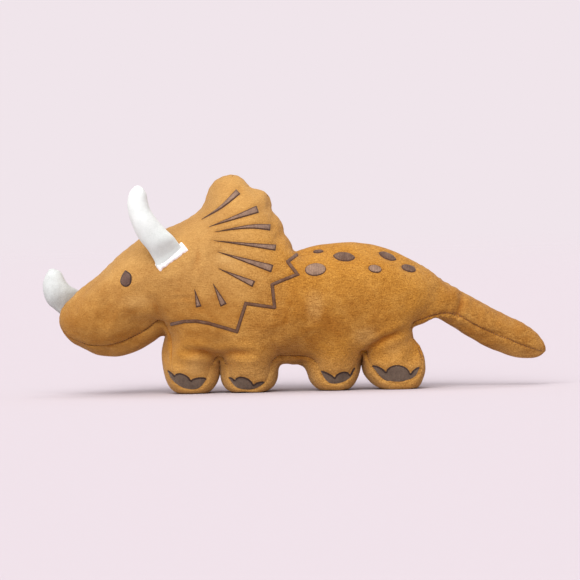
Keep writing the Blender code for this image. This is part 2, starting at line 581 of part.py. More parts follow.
def settle(ring, direction, lift):
    """Ring points dropped along a direction until they stand just above the skin."""
    d = Vector(direction).normalized()
    out = ring.copy()
    for i, p in enumerate(ring):
        hit = TREE.ray_cast(Vector(p) - d * 60.0, d)
        if hit[0] is not None:
            out[i] = np.array(hit[0] - d * lift)
    return out


def horn(name, sections, tip, side=0, splay=0.0, drop=None):
    """Horn cover open at its base and the filling inside it."""
    centres = horn_centres(sections, tip, side, splay)
    outer = horn_rings(sections, centres, 0.0)
    inner = horn_rings(sections, centres, HORN_WALL)
    core = horn_rings(sections, centres, HORN_WALL + 0.4)
    if drop is not None:
        outer[0] = settle(outer[0], drop, NOSE_HORN_LIFT)
        inner[0] = settle(inner[0], drop, NOSE_HORN_LIFT)
        core[0] = settle(core[0], drop, NOSE_HORN_LIFT + 0.4)
    away = centres[-1] - centres[-2]
    away = away / np.linalg.norm(away)
    n = HORN_SIDES
    rings = len(sections)
    points = np.concatenate([outer.reshape(-1, 3), [centres[-1]], inner.reshape(-1, 3),
                             [centres[-1] - away * HORN_WALL]])
    half = rings * n + 1
    walls = []
    for start, flip in ((0, 1), (half, -1)):
        for r in range(rings - 1):
            for k in range(n):
                m = (k + 1) % n
                a, b = start + r * n + k, start + r * n + m
                walls += [(a, b, b + n)[::flip], (a, b + n, a + n)[::flip]]
        for k in range(n):
            top = start + (rings - 1) * n
            walls.append((top + k, top + (k + 1) % n, start + rings * n)[::flip])
    cover = walls + [((k + 1) % n, k, half + k, half + (k + 1) % n) for k in range(n)]
    obj = make_object(name + "_cover", points, cover, "plush_horn_white")
    core_points = np.concatenate([core.reshape(-1, 3), [centres[-1] - away * (HORN_WALL + 0.4)],
                                  [core[0].mean(axis=0)]])
    solid = [f for f in walls if max(f) < half]
    solid += [((k + 1) % n, k, rings * n + 1) for k in range(n)]
    make_object(name + "_filling", core_points, solid, "fibre_filling")
    return obj


def build_horns():
    """Nose horn in the back seam and a brow horn with its hem band on each side of the head."""
    rear, front, _ = NOSE_HORN[0]
    across = (-(front[1] - rear[1]), 0.0, front[0] - rear[0])
    horn("nose_horn", NOSE_HORN, NOSE_HORN_TIP, drop=(-across[0], 0.0, -across[2]))
    for side, side_name in ((-1, "left"), (1, "right")):
        horn(side_name + "_brow_horn", BROW_HORN, BROW_HORN_TIP, side, BROW_HORN_SPLAY)
        path = smooth_path(HEM_LINE, RIBBON_STEP)
        points, faces = ribbon(path, [HEM_HALF] * len(path))
        applique(side_name + "_brow_horn_hem", points, faces, side, "plush_horn_white", 0.6, 1.4)


def make_materials():
    """One plain material for each cloth, thread and filling."""
    made = {}
    for name, (colour, rough) in COLOURS.items():
        mat = bpy.data.materials.new(name)
        mat.use_nodes = True
        shader = mat.node_tree.nodes["Principled BSDF"]
        shader.inputs["Base Color"].default_value = (*colour, 1.0)
        shader.inputs["Roughness"].default_value = rough
        shader.inputs["Metallic"].default_value = 0.0
        made[name] = mat
    return made


for old in list(bpy.data.objects):
    bpy.data.objects.remove(old, do_unlink=True)

MATERIALS = make_materials()
OUTER, FACES, PART, ZONE, TABLE = whole_skin()
NORMALS = point_normals(OUTER, FACES)
TREE = BVHTree.FromPolygons([Vector(p) for p in OUTER], FACES.tolist())
build_skin()
build_horns()
build_embroidery()
build_seam_thread()
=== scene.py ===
"""Looks of a stuffed horned dinosaur: simulated plush skin, horns, embroidery and stitching.

Shapes are worked out in millimetres as whole arrays and turned into metres when a mesh is made.
The toy stands on its feet with its head toward -X and its left side toward -Y.
"""
import math

import bmesh
import bpy
import numpy as np
from mathutils import Matrix, Vector
from mathutils.geometry import delaunay_2d_cdt


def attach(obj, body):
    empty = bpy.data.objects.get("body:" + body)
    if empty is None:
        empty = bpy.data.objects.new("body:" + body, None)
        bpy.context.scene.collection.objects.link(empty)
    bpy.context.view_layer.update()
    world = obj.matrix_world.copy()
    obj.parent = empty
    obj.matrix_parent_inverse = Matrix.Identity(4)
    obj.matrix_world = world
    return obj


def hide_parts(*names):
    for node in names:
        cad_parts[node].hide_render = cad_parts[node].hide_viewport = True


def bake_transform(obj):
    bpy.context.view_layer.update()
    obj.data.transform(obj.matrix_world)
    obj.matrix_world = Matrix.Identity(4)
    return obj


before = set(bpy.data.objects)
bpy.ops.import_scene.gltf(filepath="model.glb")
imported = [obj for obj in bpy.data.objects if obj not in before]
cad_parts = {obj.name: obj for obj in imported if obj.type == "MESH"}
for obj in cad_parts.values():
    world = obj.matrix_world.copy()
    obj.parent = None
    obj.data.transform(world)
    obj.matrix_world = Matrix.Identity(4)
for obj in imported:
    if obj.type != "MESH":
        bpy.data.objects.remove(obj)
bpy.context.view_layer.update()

MM = 0.001
CENTRE_X = 1.8        # middle of the toy along X in the outline lists
STEP = 6.0            # spacing of the cloth's points
SEAM_CREASE = 0.7     # how sharply the skin turns at its seams
RIM_ROWS = [0.5, 1.9, 4.1]
GUSSET_COLUMNS = 10
WIDEST = 50.0         # half width that the stuffed body can't pass
FULLNESS = 1.4        # how hard the filling pushes the panels out
LEG_TOP = 30.0        # below this height the seams are rounded, not creased
AIR_PRESSURE, CLOTH_SHRINK, CLOTH_FRAMES = 4.0, -0.02, 20
CLOTH_TRAVEL = 6.0    # furthest that the air moves a point of the skin
OUTSIDE = 110.0       # points start this far out before they are carried onto a side
LATTICE_X, LATTICE_Z = (-210.0, 230.0), (0.0, 200.0)
SEAM_PUCKER, BACK_PUCKER = 6.1, 7.3    # distance from one pucker of the seam to the next
PATCH_SINK, PATCH_RISE, NAIL_RISE = 0.35, 1.15, 0.95    # embroidery below and above the skin
HORN_STEP, HORN_COLUMNS, HORN_GATHERS = 1.6, 64, 9.0

# Stitching: length and radius of a stitch, and the distance from one to the next
SEAM_PITCH = 2.15
SEAM_STITCH, CLOSING_STITCH, TACK_STITCH = (1.75, 0.36), (3.2, 0.38), (1.8, 0.4)
SEAM_LOWEST = 26.0    # no stitches show on the legs, below this height
THROAT_X = -111.0     # the jaw meets the front leg here, and hides the seam
CLOSING = (106.0, 149.0, 20)   # from, to and number of the stitches that close the tail root
FRILL_TACKS = [(-51.5, -9.0, 191.8), (-20.7, -9.0, 174.2)]

# Back seam from the snout to the tail tip, with a corner where one list ends and the next begins
BACK_SEAM = [
    [(-208.4, 68.7), (-207.3, 75.8), (-203.7, 81.5), (-196.4, 88.0), (-185.5, 97.1), (-171.0, 109.3),
     (-156.4, 121.9), (-143.7, 132.3), (-129.3, 141.8), (-113.1, 147.3), (-98.7, 152.3),
     (-87.9, 157.9), (-81.6, 162.6), (-77.5, 167.9), (-75.6, 173.6), (-73.2, 180.7), (-68.6, 187.3),
     (-61.3, 192.0), (-52.4, 194.1), (-44.4, 191.7), (-39.2, 186.2), (-34.4, 180.8)],
    [(-34.4, 180.8), (-28.6, 180.2), (-22.9, 178.3), (-18.5, 173.7), (-16.9, 167.9), (-17.0, 161.2)],
    [(-17.0, 161.2), (-12.2, 156.2), (-8.8, 151.2), (-7.1, 145.4), (-6.8, 140.1)],
    [(-6.8, 140.1), (-2.9, 135.5), (0.1, 130.1), (1.8, 124.3)],
    [(1.8, 124.3), (11.2, 126.3), (25.5, 129.1), (43.4, 130.8), (61.2, 130.1), (75.4, 127.6),
     (89.6, 122.8), (103.7, 115.8), (117.7, 107.5), (135.0, 94.8), (148.5, 87.2), (163.0, 79.1),
     (181.1, 69.2), (198.7, 59.4), (212.7, 50.2), (220.6, 42.9), (225.3, 35.2), (225.7, 30.3)],
]

# Belly seam and the gusset below it: seam x, seam z, middle of the gusset x, z, gusset width
BELLY = [
    (-208.4, 68.7, -208.4, 68.7, 0), (-206.3, 61.5, -206.9, 61.5, 8),
    (-201.6, 55.2, -202.5, 53.8, 16), (-194.5, 49.8, -195.5, 47.0, 23),
    (-184.8, 46.2, -184.9, 41.0, 29), (-172.4, 44.5, -171.7, 36.7, 34),
    (-159.9, 46.0, -157.4, 35.5, 38), (-145.5, 50.8, -141.3, 38.7, 41),
    (-131.1, 58.1, -126.0, 45.5, 43), (-117.1, 66.7, -113.0, 51.2, 45),
    (-112.3, 59.5, -113.1, 47.0, 45), (-109.0, 50.5, -114.7, 40.8, 46),
    (-108.8, 37.1, -115.8, 31.0, 48), (-109.5, 24.7, -115.6, 20.3, 48),
    (-106.6, 13.9, -112.6, 7.6, 50), (-100.1, 7.7, -104.6, -2.2, 50),
    (-92.1, 6.2, -92.2, -3.5, 50), (-84.1, 7.8, -78.8, -2.2, 50),
    (-78.1, 13.3, -69.6, 7.2, 48), (-75.3, 22.1, -67.3, 16.6, 46),
    (-72.0, 30.1, -66.9, 24.2, 44), (-66.6, 33.3, -66.4, 28.6, 43),
    (-60.9, 29.4, -65.9, 24.1, 44), (-59.7, 21.3, -65.3, 15.7, 46),
    (-56.3, 11.5, -63.6, 6.8, 48), (-50.2, 4.8, -56.0, -2.4, 50),
    (-41.4, 3.4, -41.4, -4.0, 50), (-32.4, 5.2, -26.8, -2.4, 50),
    (-24.7, 12.6, -16.6, 7.4, 48), (-21.4, 21.9, -13.6, 17.0, 46),
    (-19.6, 29.1, -12.9, 22.6, 45), (-14.0, 31.9, -8.8, 23.5, 45),
    (-0.6, 31.9, -0.8, 23.4, 45), (11.8, 31.3, 6.3, 22.5, 45),
    (18.4, 27.7, 10.6, 18.5, 45), (21.4, 19.1, 12.6, 11.2, 47),
    (26.5, 11.0, 19.0, 2.0, 49), (35.3, 6.5, 34.8, -4.0, 50),
    (45.2, 9.4, 50.6, 1.0, 49), (52.1, 17.6, 56.6, 13.6, 47),
    (55.4, 28.2, 56.9, 22.8, 45), (60.5, 37.9, 58.6, 30.8, 44),
    (65.3, 29.8, 59.9, 22.8, 46), (68.2, 20.8, 61.8, 14.6, 48),
    (74.7, 12.2, 69.4, 5.2, 50), (83.5, 6.7, 81.0, -3.0, 52),
    (93.2, 5.1, 94.1, -4.5, 52), (103.5, 7.6, 108.6, -1.4, 51),
    (110.7, 15.0, 115.8, 11.4, 49), (112.7, 26.1, 116.2, 25.2, 46),
    (108.6, 38.6, 110.9, 37.9, 43), (103.5, 50.8, 105.0, 46.6, 41),
    (103.4, 56.6, 104.0, 53.0, 40), (114.1, 61.7, 115.4, 56.6, 38),
    (125.7, 65.3, 126.5, 60.1, 36), (137.4, 66.8, 132.7, 58.6, 32),
    (149.2, 63.3, 143.7, 53.0, 30), (160.3, 56.2, 156.1, 45.6, 28),
    (173.5, 49.7, 170.6, 37.3, 26), (186.8, 44.1, 184.7, 30.9, 24),
    (199.1, 38.5, 197.5, 26.3, 21), (210.6, 34.0, 210.4, 24.4, 16),
    (220.3, 30.4, 220.2, 25.7, 9), (225.7, 30.3, 225.7, 30.3, 0),
]

# Frill rays: pointed end, middle, broad end, half width of the broad end
FRILL_RAYS = [
    ((-80.3, 154.4), (-64.4, 163.9), (-46.5, 178.9), 3.1),
    ((-74.3, 147.9), (-52.0, 155.4), (-29.7, 162.9), 3.6),
    ((-68.9, 143.7), (-30.7, 147.5), (-18.9, 146.3), 3.1),
    ((-70.5, 136.1), (-42.6, 132.3), (-14.7, 128.4), 3.0),
    ((-67.5, 126.4), (-42.9, 118.2), (-18.4, 110.0), 3.8),
    ((-66.7, 111.6), (-50.9, 104.3), (-35.1, 96.9), 3.3),
    ((-71.6, 98.8), (-66.9, 88.7), (-62.3, 78.6), 3.4),
    ((-87.8, 94.0), (-86.0, 85.7), (-84.3, 77.5), 2.9),
]
COLLAR = [(5.0, 122.6), (-5.0, 115.9), (3.3, 104.6), (-19.4, 96.2), (-17.6, 75.9), (-43.0, 80.1),
          (-51.3, 55.5), (-62.4, 59.1), (-76.3, 63.4), (-87.3, 65.5), (-97.2, 65.4), (-110.0, 62.5)]
COLLAR_HALF = 1.8
# Back spots: centre, half length, half height, tilt in degrees
BACK_SPOTS = [
    (23.0, 124.0, 5.3, 1.8, 3.8), (45.4, 119.0, 10.3, 4.3, -6.2), (19.4, 108.4, 9.8, 5.8, 3.8),
    (84.2, 118.5, 8.9, 3.3, -23.2), (72.1, 107.8, 6.3, 3.7, -11.2), (102.6, 107.4, 7.1, 3.4, -16.2),
]
EYE = [(-148.2, 111.9), (-150.9, 108.3), (-152.6, 104.7), (-153.2, 102.2), (-152.5, 99.2), (-150.6, 97.3),
       (-148.4, 96.5), (-145.7, 97.2), (-143.6, 99.2), (-142.6, 102.4), (-142.4, 104.8), (-142.9, 107.5),
       (-144.4, 109.5), (-146.6, 110.8)]
# Toenails, for each foot from the front: ends and cusps of the scalloped edge, how far each scallop
# bulges above the straight line between them, and the lower edge
TOENAILS = [
    ([(-112.7, 22.1), (-106.8, 17.6), (-92.4, 13.1), (-78.8, 14.2)], [0.7, 3.8, 1.7],
     [(-112.7, 21.5), (-110.1, 14.7), (-105.8, 9.6), (-99.9, 5.5), (-92.1, 3.9), (-86.1, 4.6), (-82.1, 8.1),
      (-78.8, 13.2)]),
    ([(-58.9, 14.7), (-53.5, 12.4), (-37.0, 7.9), (-27.1, 9.7)], [0.8, 4.8, 1.5],
     [(-58.9, 14.1), (-56.3, 9.5), (-51.5, 4.4), (-44.6, 2.7), (-37.6, 3.2), (-31.6, 5.5), (-27.1, 9.1)]),
    ([(23.1, 18.5), (34.9, 12.7), (48.8, 14.7), (53.4, 20.5)], [1.3, 3.8, 1.5],
     [(23.1, 17.9), (26.4, 10.7), (30.8, 6.7), (36.7, 6.3), (43.7, 7.9), (48.7, 11.2), (53.4, 19.8)]),
    ([(68.6, 22.2), (80.3, 16.7), (102.3, 14.5), (110.5, 19.8)], [1.8, 7.1, 1.6],
     [(68.6, 21.6), (74.5, 13.1), (78.4, 9.1), (89.2, 6.4), (100.1, 8.1), (106.1, 11.0), (110.5, 19.1)]),
]

# Horn outlines: front edge, rear edge and thickness across, from the base to the last ring
NOSE_HORN = [((-207.2, 73.5), (-189.6, 93.0), 3.2), ((-212.0, 77.5), (-192.6, 95.0), 6.0),
             ((-217.3, 82.0), (-196.0, 96.9), 8.2), ((-220.6, 88.5), (-199.8, 100.0), 9.2),
             ((-222.0, 95.2), (-202.6, 104.4), 8.8), ((-221.6, 102.2), (-204.8, 109.0), 7.6),
             ((-218.8, 108.8), (-207.6, 112.0), 5.2), ((-216.6, 111.8), (-211.0, 113.2), 2.8)]
NOSE_HORN_TIP = (-214.4, 113.6)
BROW_HORN = [((-120.2, 113.2), (-97.6, 130.0), 2.4), ((-122.0, 118.6), (-99.2, 132.2), 3.0),
             ((-124.2, 122.6), (-101.4, 135.2), 4.6), ((-127.6, 128.6), (-105.0, 140.0), 7.6),
             ((-135.4, 138.6), (-112.9, 147.8), 9.4),
             ((-141.0, 150.5), (-119.8, 156.4), 10.2), ((-144.4, 161.4), (-125.4, 165.5), 9.4),
             ((-145.2, 169.7), (-127.2, 172.2), 8.7), ((-143.9, 177.4), (-128.6, 179.2), 7.4),
             ((-141.2, 182.4), (-131.4, 183.7), 4.8), ((-138.9, 184.5), (-133.6, 185.3), 2.6)]
BROW_HORN_TIP = (-136.2, 185.7)
BROW_HORN_SPLAY = math.radians(14)
HEM_LINE = [(-120.4, 112.8), (-112.6, 118.6), (-104.4, 124.6), (-94.9, 131.9)]
HEM_HALF = 4.1
HEM_SINK, HEM_RISE = 0.4, 2.9

# Patches where the nap lies the other way: centre, half width, half height, paleness
BRUSHED = [(17.7, 76.5, 8.0, 13.0, 0.42), (63.1, 48.5, 11.0, 8.0, 0.35), (-60.0, 121.0, 9.0, 6.0, 0.35),
           (-140.0, 84.0, 14.0, 6.0, 0.3), (-88.0, 27.0, 9.0, 8.0, 0.3), (90.0, 38.0, 12.0, 8.0, 0.3)]

LEG_CENTRES = (-96.0, -43.0, 38.0, 90.0)

# Folds in the skin of the sides: line, depth, half width
FOLDS = [
    ([(-109.1, 85.2), (-99.3, 86.4), (-88.6, 85.2)], 0.7, 1.6),
    ([(-117.1, 66.7), (-121.8, 76.6), (-125.1, 85.6)], 1.4, 3.0),
    ([(-96.0, 38.5), (-82.1, 37.4), (-66.5, 33.4)], 2.6, 3.2),
    ([(-66.5, 34.4), (-54.9, 36.5), (-38.2, 35.6)], 2.0, 3.2),
    ([(62.0, 34.0), (70.0, 40.5), (80.1, 46.0), (97.0, 52.5)], 2.8, 3.0),
    ([(150.8, 84.0), (149.4, 73.0), (143.8, 63.0)], 2.2, 2.9),
    ([(166.0, 70.0), (164.0, 61.0), (162.5, 54.0)], 1.0, 2.4),
    ([(182.0, 62.0), (179.4, 54.0), (178.5, 47.0)], 0.6, 2.6),
    ([(-19.8, 175.1), (-18.2, 167.9), (-21.9, 161.8)], 1.2, 2.4),
    ([(-13.1, 33.3), (-19.2, 40.5)], 1.2, 3.0),
    ([(-84.4, 131.4), (-84.3, 122.2), (-86.2, 112.2)], 1.5, 3.4),
]


def run_along(points):
    """Length from the first point of a line to each of its points."""
    return np.concatenate([[0.0], np.cumsum(np.linalg.norm(np.diff(points, axis=0), axis=1))])


def even_steps(points, run, step):
    """The line of points, whose lengths run gives, cut to equal lengths of about the step."""
    even = np.linspace(0.0, run[-1], max(2, int(round(run[-1] / step)) + 1))
    return np.stack([np.interp(even, run, points[:, c]) for c in range(points.shape[1])], axis=1)


def smooth_path(points, step):
    """Cubic curve through the points, cut to equal lengths of about the step."""
    p = np.array(points, float)
    s = run_along(p[:, :2])
    slope = np.gradient(p, s, axis=0) if len(p) > 2 else np.tile((p[-1] - p[0]) / s[-1], (len(p), 1))
    fine = np.linspace(0.0, s[-1], 1 + 12 * len(p))
    k = np.clip(np.searchsorted(s, fine, side="right") - 1, 0, len(p) - 2)
    h = (s[k + 1] - s[k])[:, None]
    t = ((fine - s[k]) / h[:, 0])[:, None]
    curve = ((2 * t**3 - 3 * t**2 + 1) * p[k] + (t**3 - 2 * t**2 + t) * h * slope[k]
             + (3 * t**2 - 2 * t**3) * p[k + 1] + (t**3 - t**2) * h * slope[k + 1])
    return even_steps(curve, run_along(curve[:, :2]), step)


def resample(points, step):
    """Straight runs through the points, cut to equal lengths of about the step."""
    p = np.array(points, float)
    return even_steps(p, run_along(p), step)


def unit(ways):
    """The same directions with length 1."""
    return ways / np.linalg.norm(ways, axis=1)[:, None]


def bell(x, half):
    """Bell curve exp(-(x / half)^2)."""
    return np.exp(-(x / half) ** 2)


def turn_angles(count):
    """Angles of that many equal steps round a full turn."""
    return np.linspace(0.0, 2.0 * math.pi, count, endpoint=False)


def on_side(flat, side):
    """Points given by x and z, set far out on one side: -1 for the left, 1 for the right."""
    return np.insert(flat, 1, side * OUTSIDE, axis=1)


def inside(points, outline):
    """True for each point that the closed outline goes round: an odd number of its edges lie ahead."""
    a, b = outline, np.roll(outline, -1, axis=0)
    px, pz = points[:, None, 0], points[:, None, 1]
    rise = np.where(b[:, 1] == a[:, 1], 1e-9, b[:, 1] - a[:, 1])
    crossing = a[:, 0] + (pz - a[:, 1]) / rise * (b[:, 0] - a[:, 0])
    return (np.sum(((a[:, 1] > pz) != (b[:, 1] > pz)) & (px < crossing), axis=1) % 2) == 1


def near(points, line):
    """Distance from each point to a line of points, and how far along the line its foot lies."""
    a, d = line[:-1], np.diff(line, axis=0)
    length = np.linalg.norm(d, axis=1)
    start = np.concatenate([[0.0], np.cumsum(length)[:-1]])
    parts = []
    for some in np.array_split(points, 1 + len(points) * len(a) // 3000000):
        rel = some[:, None, :] - a
        t = np.clip(np.sum(rel * d, axis=2) / np.maximum(length, 1e-9) ** 2, 0.0, 1.0)
        gap = np.linalg.norm(rel - t[:, :, None] * d, axis=2)
        best = np.argmin(gap, axis=1)
        rows = np.arange(len(some))
        parts.append(np.stack([gap[rows, best], start[best] + t[rows, best] * length[best]], axis=1))
    return np.concatenate(parts).T


def smoothstep(low, high, x):
    """0 below low, 1 above high, and 3t^2 - 2t^3 between."""
    t = np.clip((x - low) / (high - low), 0.0, 1.0)
    return t * t * (3.0 - 2.0 * t)


def lumps(points, size, seed, count=28):
    """Smooth random field from about -1 to 1: cosine waves of that length in random directions."""
    rng = np.random.default_rng(seed)
    way = rng.normal(size=(count, points.shape[1]))
    way *= (2.0 * math.pi / size * rng.uniform(0.6, 1.5, count) / np.linalg.norm(way, axis=1))[:, None]
    phase = rng.uniform(0.0, 2.0 * math.pi, count)
    return np.cos(points @ way.T + phase).sum(axis=1) / math.sqrt(count)


def make_object(name, points, faces, material):
    """Smooth mesh object from points in millimetres; faces are lists or an array of corners."""
    mesh = bpy.data.meshes.new(name)
    placed = (np.asarray(points).reshape(-1, 3) - [CENTRE_X, 0.0, 0.0]) * MM
    mesh.from_pydata(placed, [], faces.tolist() if isinstance(faces, np.ndarray) else faces)
    mesh.polygons.foreach_set("use_smooth", np.ones(len(mesh.polygons), bool))
    if material is not None:
        mesh.materials.append(material)
    obj = bpy.data.objects.new(name, mesh)
    bpy.context.scene.collection.objects.link(obj)
    return obj


def read_points(obj, what="co"):
    """The object's points in millimetres, or its normals."""
    data = np.empty(len(obj.data.vertices) * 3, np.float32)
    obj.data.vertices.foreach_get(what, data)
    data = data.reshape(-1, 3).astype(float)
    return data if what == "normal" else data / MM + [CENTRE_X, 0.0, 0.0]


def write_points(obj, points):
    """Puts the object's points where the array in millimetres says."""
    placed = (points - [CENTRE_X, 0.0, 0.0]) * MM
    obj.data.vertices.foreach_set("co", placed.astype(np.float32).ravel())
    obj.data.update()


def add_attribute(obj, name, values):
    """One number per point that a material can read."""
    made = obj.data.attributes.new(name, "FLOAT", "POINT")
    made.data.foreach_set("value", np.asarray(values, np.float32))


def add_uv(obj, pairs):
    """UV map whose two numbers are lengths in millimetres across the piece."""
    layer = obj.data.uv_layers.new(name="stitch")
    corner = np.empty(len(obj.data.loops), np.int32)
    obj.data.loops.foreach_get("vertex_index", corner)
    layer.data.foreach_set("uv", np.asarray(pairs, np.float32).reshape(-1, 2)[corner].ravel())


def made_final(obj):
    """Replaces the object's mesh with what its modifiers make of it."""
    graph = bpy.context.evaluated_depsgraph_get()
    mesh = bpy.data.meshes.new_from_object(obj.evaluated_get(graph))
    obj.modifiers.clear()
    obj.data = mesh


def grid_faces(rows, columns, closed=False):
    """Four-cornered faces over a grid of points; closed joins the last column to the first."""
    k = np.arange(rows * columns).reshape(rows, columns)
    if closed:
        k = np.concatenate([k, k[:, :1]], axis=1)
    return np.stack([k[:-1, :-1], k[:-1, 1:], k[1:, 1:], k[1:, :-1]], axis=-1).reshape(-1, 4)


def weld(obj, join=True):
    """Closes poles and seams where points of a grid lie on each other, and turns faces outward."""
    work = bmesh.new()
    work.from_mesh(obj.data)
    if join:
        bmesh.ops.remove_doubles(work, verts=work.verts, dist=1e-6)
    bmesh.ops.recalc_face_normals(work, faces=work.faces)
    work.to_mesh(obj.data)
    work.free()


def panel_pattern():
    """Flat pattern of one side panel: its outline, rows of points along the edge, then a lattice."""
    back = [smooth_path(part, STEP) for part in BACK_SEAM]
    back_line = np.concatenate([back[0]] + [b[1:] for b in back[1:]])
    stations = smooth_path(BELLY, STEP)
    outline = np.concatenate([back_line, stations[-2:0:-1, :2]])
    closed = np.concatenate([outline, outline[:1]])
    back_ids = np.arange(len(back_line))
    seam_ids = np.concatenate([[0], np.arange(len(outline) - 1, len(back_line) - 1, -1),
                               [len(back_line) - 1]])
    along = np.roll(outline, -1, axis=0) - np.roll(outline, 1, axis=0)
    inward = unit(np.stack([along[:, 1], -along[:, 0]], axis=1))
    rows = [outline + inward * deep for deep in RIM_ROWS]
    rows = [r[inside(r, outline) & (near(r, closed)[0] > 0.86 * deep)] for r, deep in zip(rows, RIM_ROWS)]
    lattice = np.stack(np.meshgrid(np.arange(*LATTICE_X, STEP),
                                   np.arange(*LATTICE_Z, STEP * math.sqrt(3) / 2)), axis=-1)
    lattice[1::2, :, 0] += STEP / 2
    lattice = lattice.reshape(-1, 2)
    lattice = lattice[inside(lattice, outline)]
    lattice = lattice[near(lattice, closed)[0] > RIM_ROWS[-1] + 0.55 * STEP]
    points = np.concatenate([outline, *rows, lattice])
    n = len(outline)
    edges = np.stack([np.arange(n), (np.arange(n) + 1) % n], axis=1).tolist()
    out = delaunay_2d_cdt(list(map(Vector, points.tolist())), edges, [], 0, 1e-4)
    placed, triangles = np.array(out[0]), np.array(out[2])
    triangles = triangles[inside(placed[triangles].mean(axis=1), outline)]
    p = placed[triangles]
    turn = np.cross(p[:, 1] - p[:, 0], p[:, 2] - p[:, 0])
    triangles[turn < 0] = triangles[turn < 0][:, ::-1]
    return placed, triangles[np.abs(turn) > 1e-4], back_ids, seam_ids, stations


def stuffed_height(points, triangles, back_ids, seam_ids, stations):
    """How far each panel point stands off the middle plane.

    The square of the height solves Poisson's equation over the pattern, like the shape of an
    inflated membrane: zero on the back seam, half the gusset width squared on the belly seam.
    """
    n = len(points)
    p = points[triangles]
    area = 0.5 * np.abs(np.cross(p[:, 1] - p[:, 0], p[:, 2] - p[:, 0]))
    stiff, push = np.zeros((n, n)), np.zeros(n)
    opposite = [p[:, 2] - p[:, 1], p[:, 0] - p[:, 2], p[:, 1] - p[:, 0]]
    for i in range(3):
        np.add.at(push, triangles[:, i], 2.0 * FULLNESS * area / 3.0)
        for j in range(3):
            value = np.sum(opposite[i] * opposite[j], axis=1) / (4.0 * area)
            np.add.at(stiff, (triangles[:, i], triangles[:, j]), value)
    height2 = np.zeros(n)
    height2[seam_ids] = (stations[:, 4] / 2.0) ** 2
    fixed = np.zeros(n, bool)
    fixed[back_ids] = fixed[seam_ids] = True
    free = ~fixed
    known = push[free] - stiff[np.ix_(free, fixed)] @ height2[fixed]
    height2[free] = np.linalg.solve(stiff[np.ix_(free, free)], known)
    height = np.sqrt(np.maximum(height2, 0.0))
    return height / (1.0 + (height / WIDEST) ** 6) ** (1.0 / 6.0)


def cut_skin():
    """Both side panels and the belly gusset, sewn together edge to edge.

    A gusset strip is half an ellipse from seam to seam through its lowest point, flat on the floor.
    """
    flat, triangles, back_ids, seam_ids, stations = panel_pattern()
    height = stuffed_height(flat, triangles, back_ids, seam_ids, stations)
    n = len(flat)
    left = np.stack([flat[:, 0], -height, flat[:, 1]], axis=1)
    right = left * [1.0, -1.0, 1.0]
    right_ids = np.full(n, -1)
    right_ids[back_ids] = back_ids
    loose = np.where(right_ids < 0)[0]
    right_ids[loose] = n + np.arange(len(loose))
    t = np.linspace(-0.5, 0.5, GUSSET_COLUMNS + 1)[1:-1] * math.pi
    seam, low = stations[1:-1, None, 0:2], stations[1:-1, None, 2:4]
    arc = seam + (low - seam) * np.cos(t)[None, :, None]
    across = stations[1:-1, 4][:, None] / 2.0 * np.sin(t)[None, :]
    gusset = np.stack([arc[..., 0], across, np.maximum(arc[..., 1], 0.0)], axis=-1)
    rows = len(stations)
    table = np.zeros((rows, GUSSET_COLUMNS + 1), int)
    table[:, 0], table[:, -1] = seam_ids, right_ids[seam_ids]
    table[1:-1, 1:-1] = n + len(loose) + np.arange(gusset.size // 3).reshape(rows - 2, -1)
    table[0, :], table[-1, :] = seam_ids[0], seam_ids[-1]
    strips = np.stack([table[:-1, :-1], table[:-1, 1:], table[1:, 1:], table[1:, :-1]], axis=-1)
    front = np.stack([strips[0, :, 0], strips[0, :, 2], strips[0, :, 3]], axis=-1)
    rear = np.stack([strips[-1, :, 0], strips[-1, :, 1], strips[-1, :, 2]], axis=-1)
    faces = triangles.tolist() + right_ids[triangles][:, ::-1].tolist()
    faces += strips[1:-1].reshape(-1, 4).tolist() + front.tolist() + rear.tolist()
    points = np.concatenate([left, right[loose], gusset.reshape(-1, 3)])
    skin = make_object("plush_skin", points, faces, None)
    work = bmesh.new()
    work.from_mesh(skin.data)
    bmesh.ops.join_triangles(work, faces=work.faces, angle_face_threshold=0.7, angle_shape_threshold=0.9)
    bmesh.ops.recalc_face_normals(work, faces=work.faces)
    on_seam = set(back_ids.tolist()) | set(table[:, 0].tolist()) | set(table[:, -1].tolist())
    sharp = work.edges.layers.float.new("crease_edge")
    for edge in work.edges:
        low = min(v.co.z for v in edge.verts) < LEG_TOP * MM
        edge[sharp] = SEAM_CREASE if {v.index for v in edge.verts} <= on_seam and not low else 0.0
    corners = np.array([part[0] for part in BACK_SEAM[1:]])
    found = back_ids[np.argmin(np.linalg.norm(points[back_ids][:, None, [0, 2]] - corners, axis=2), axis=0)]
    notch = work.verts.layers.float.new("crease_vert")
    work.verts.ensure_lookup_table()
    for k in found.tolist():
        work.verts[k][notch] = 1.0
    work.to_mesh(skin.data)
    work.free()
    sewn = np.unique(np.concatenate([back_ids, table[:, 0], table[:, -1]]))
    return skin, points[back_ids], points[table[:, 0]], sewn


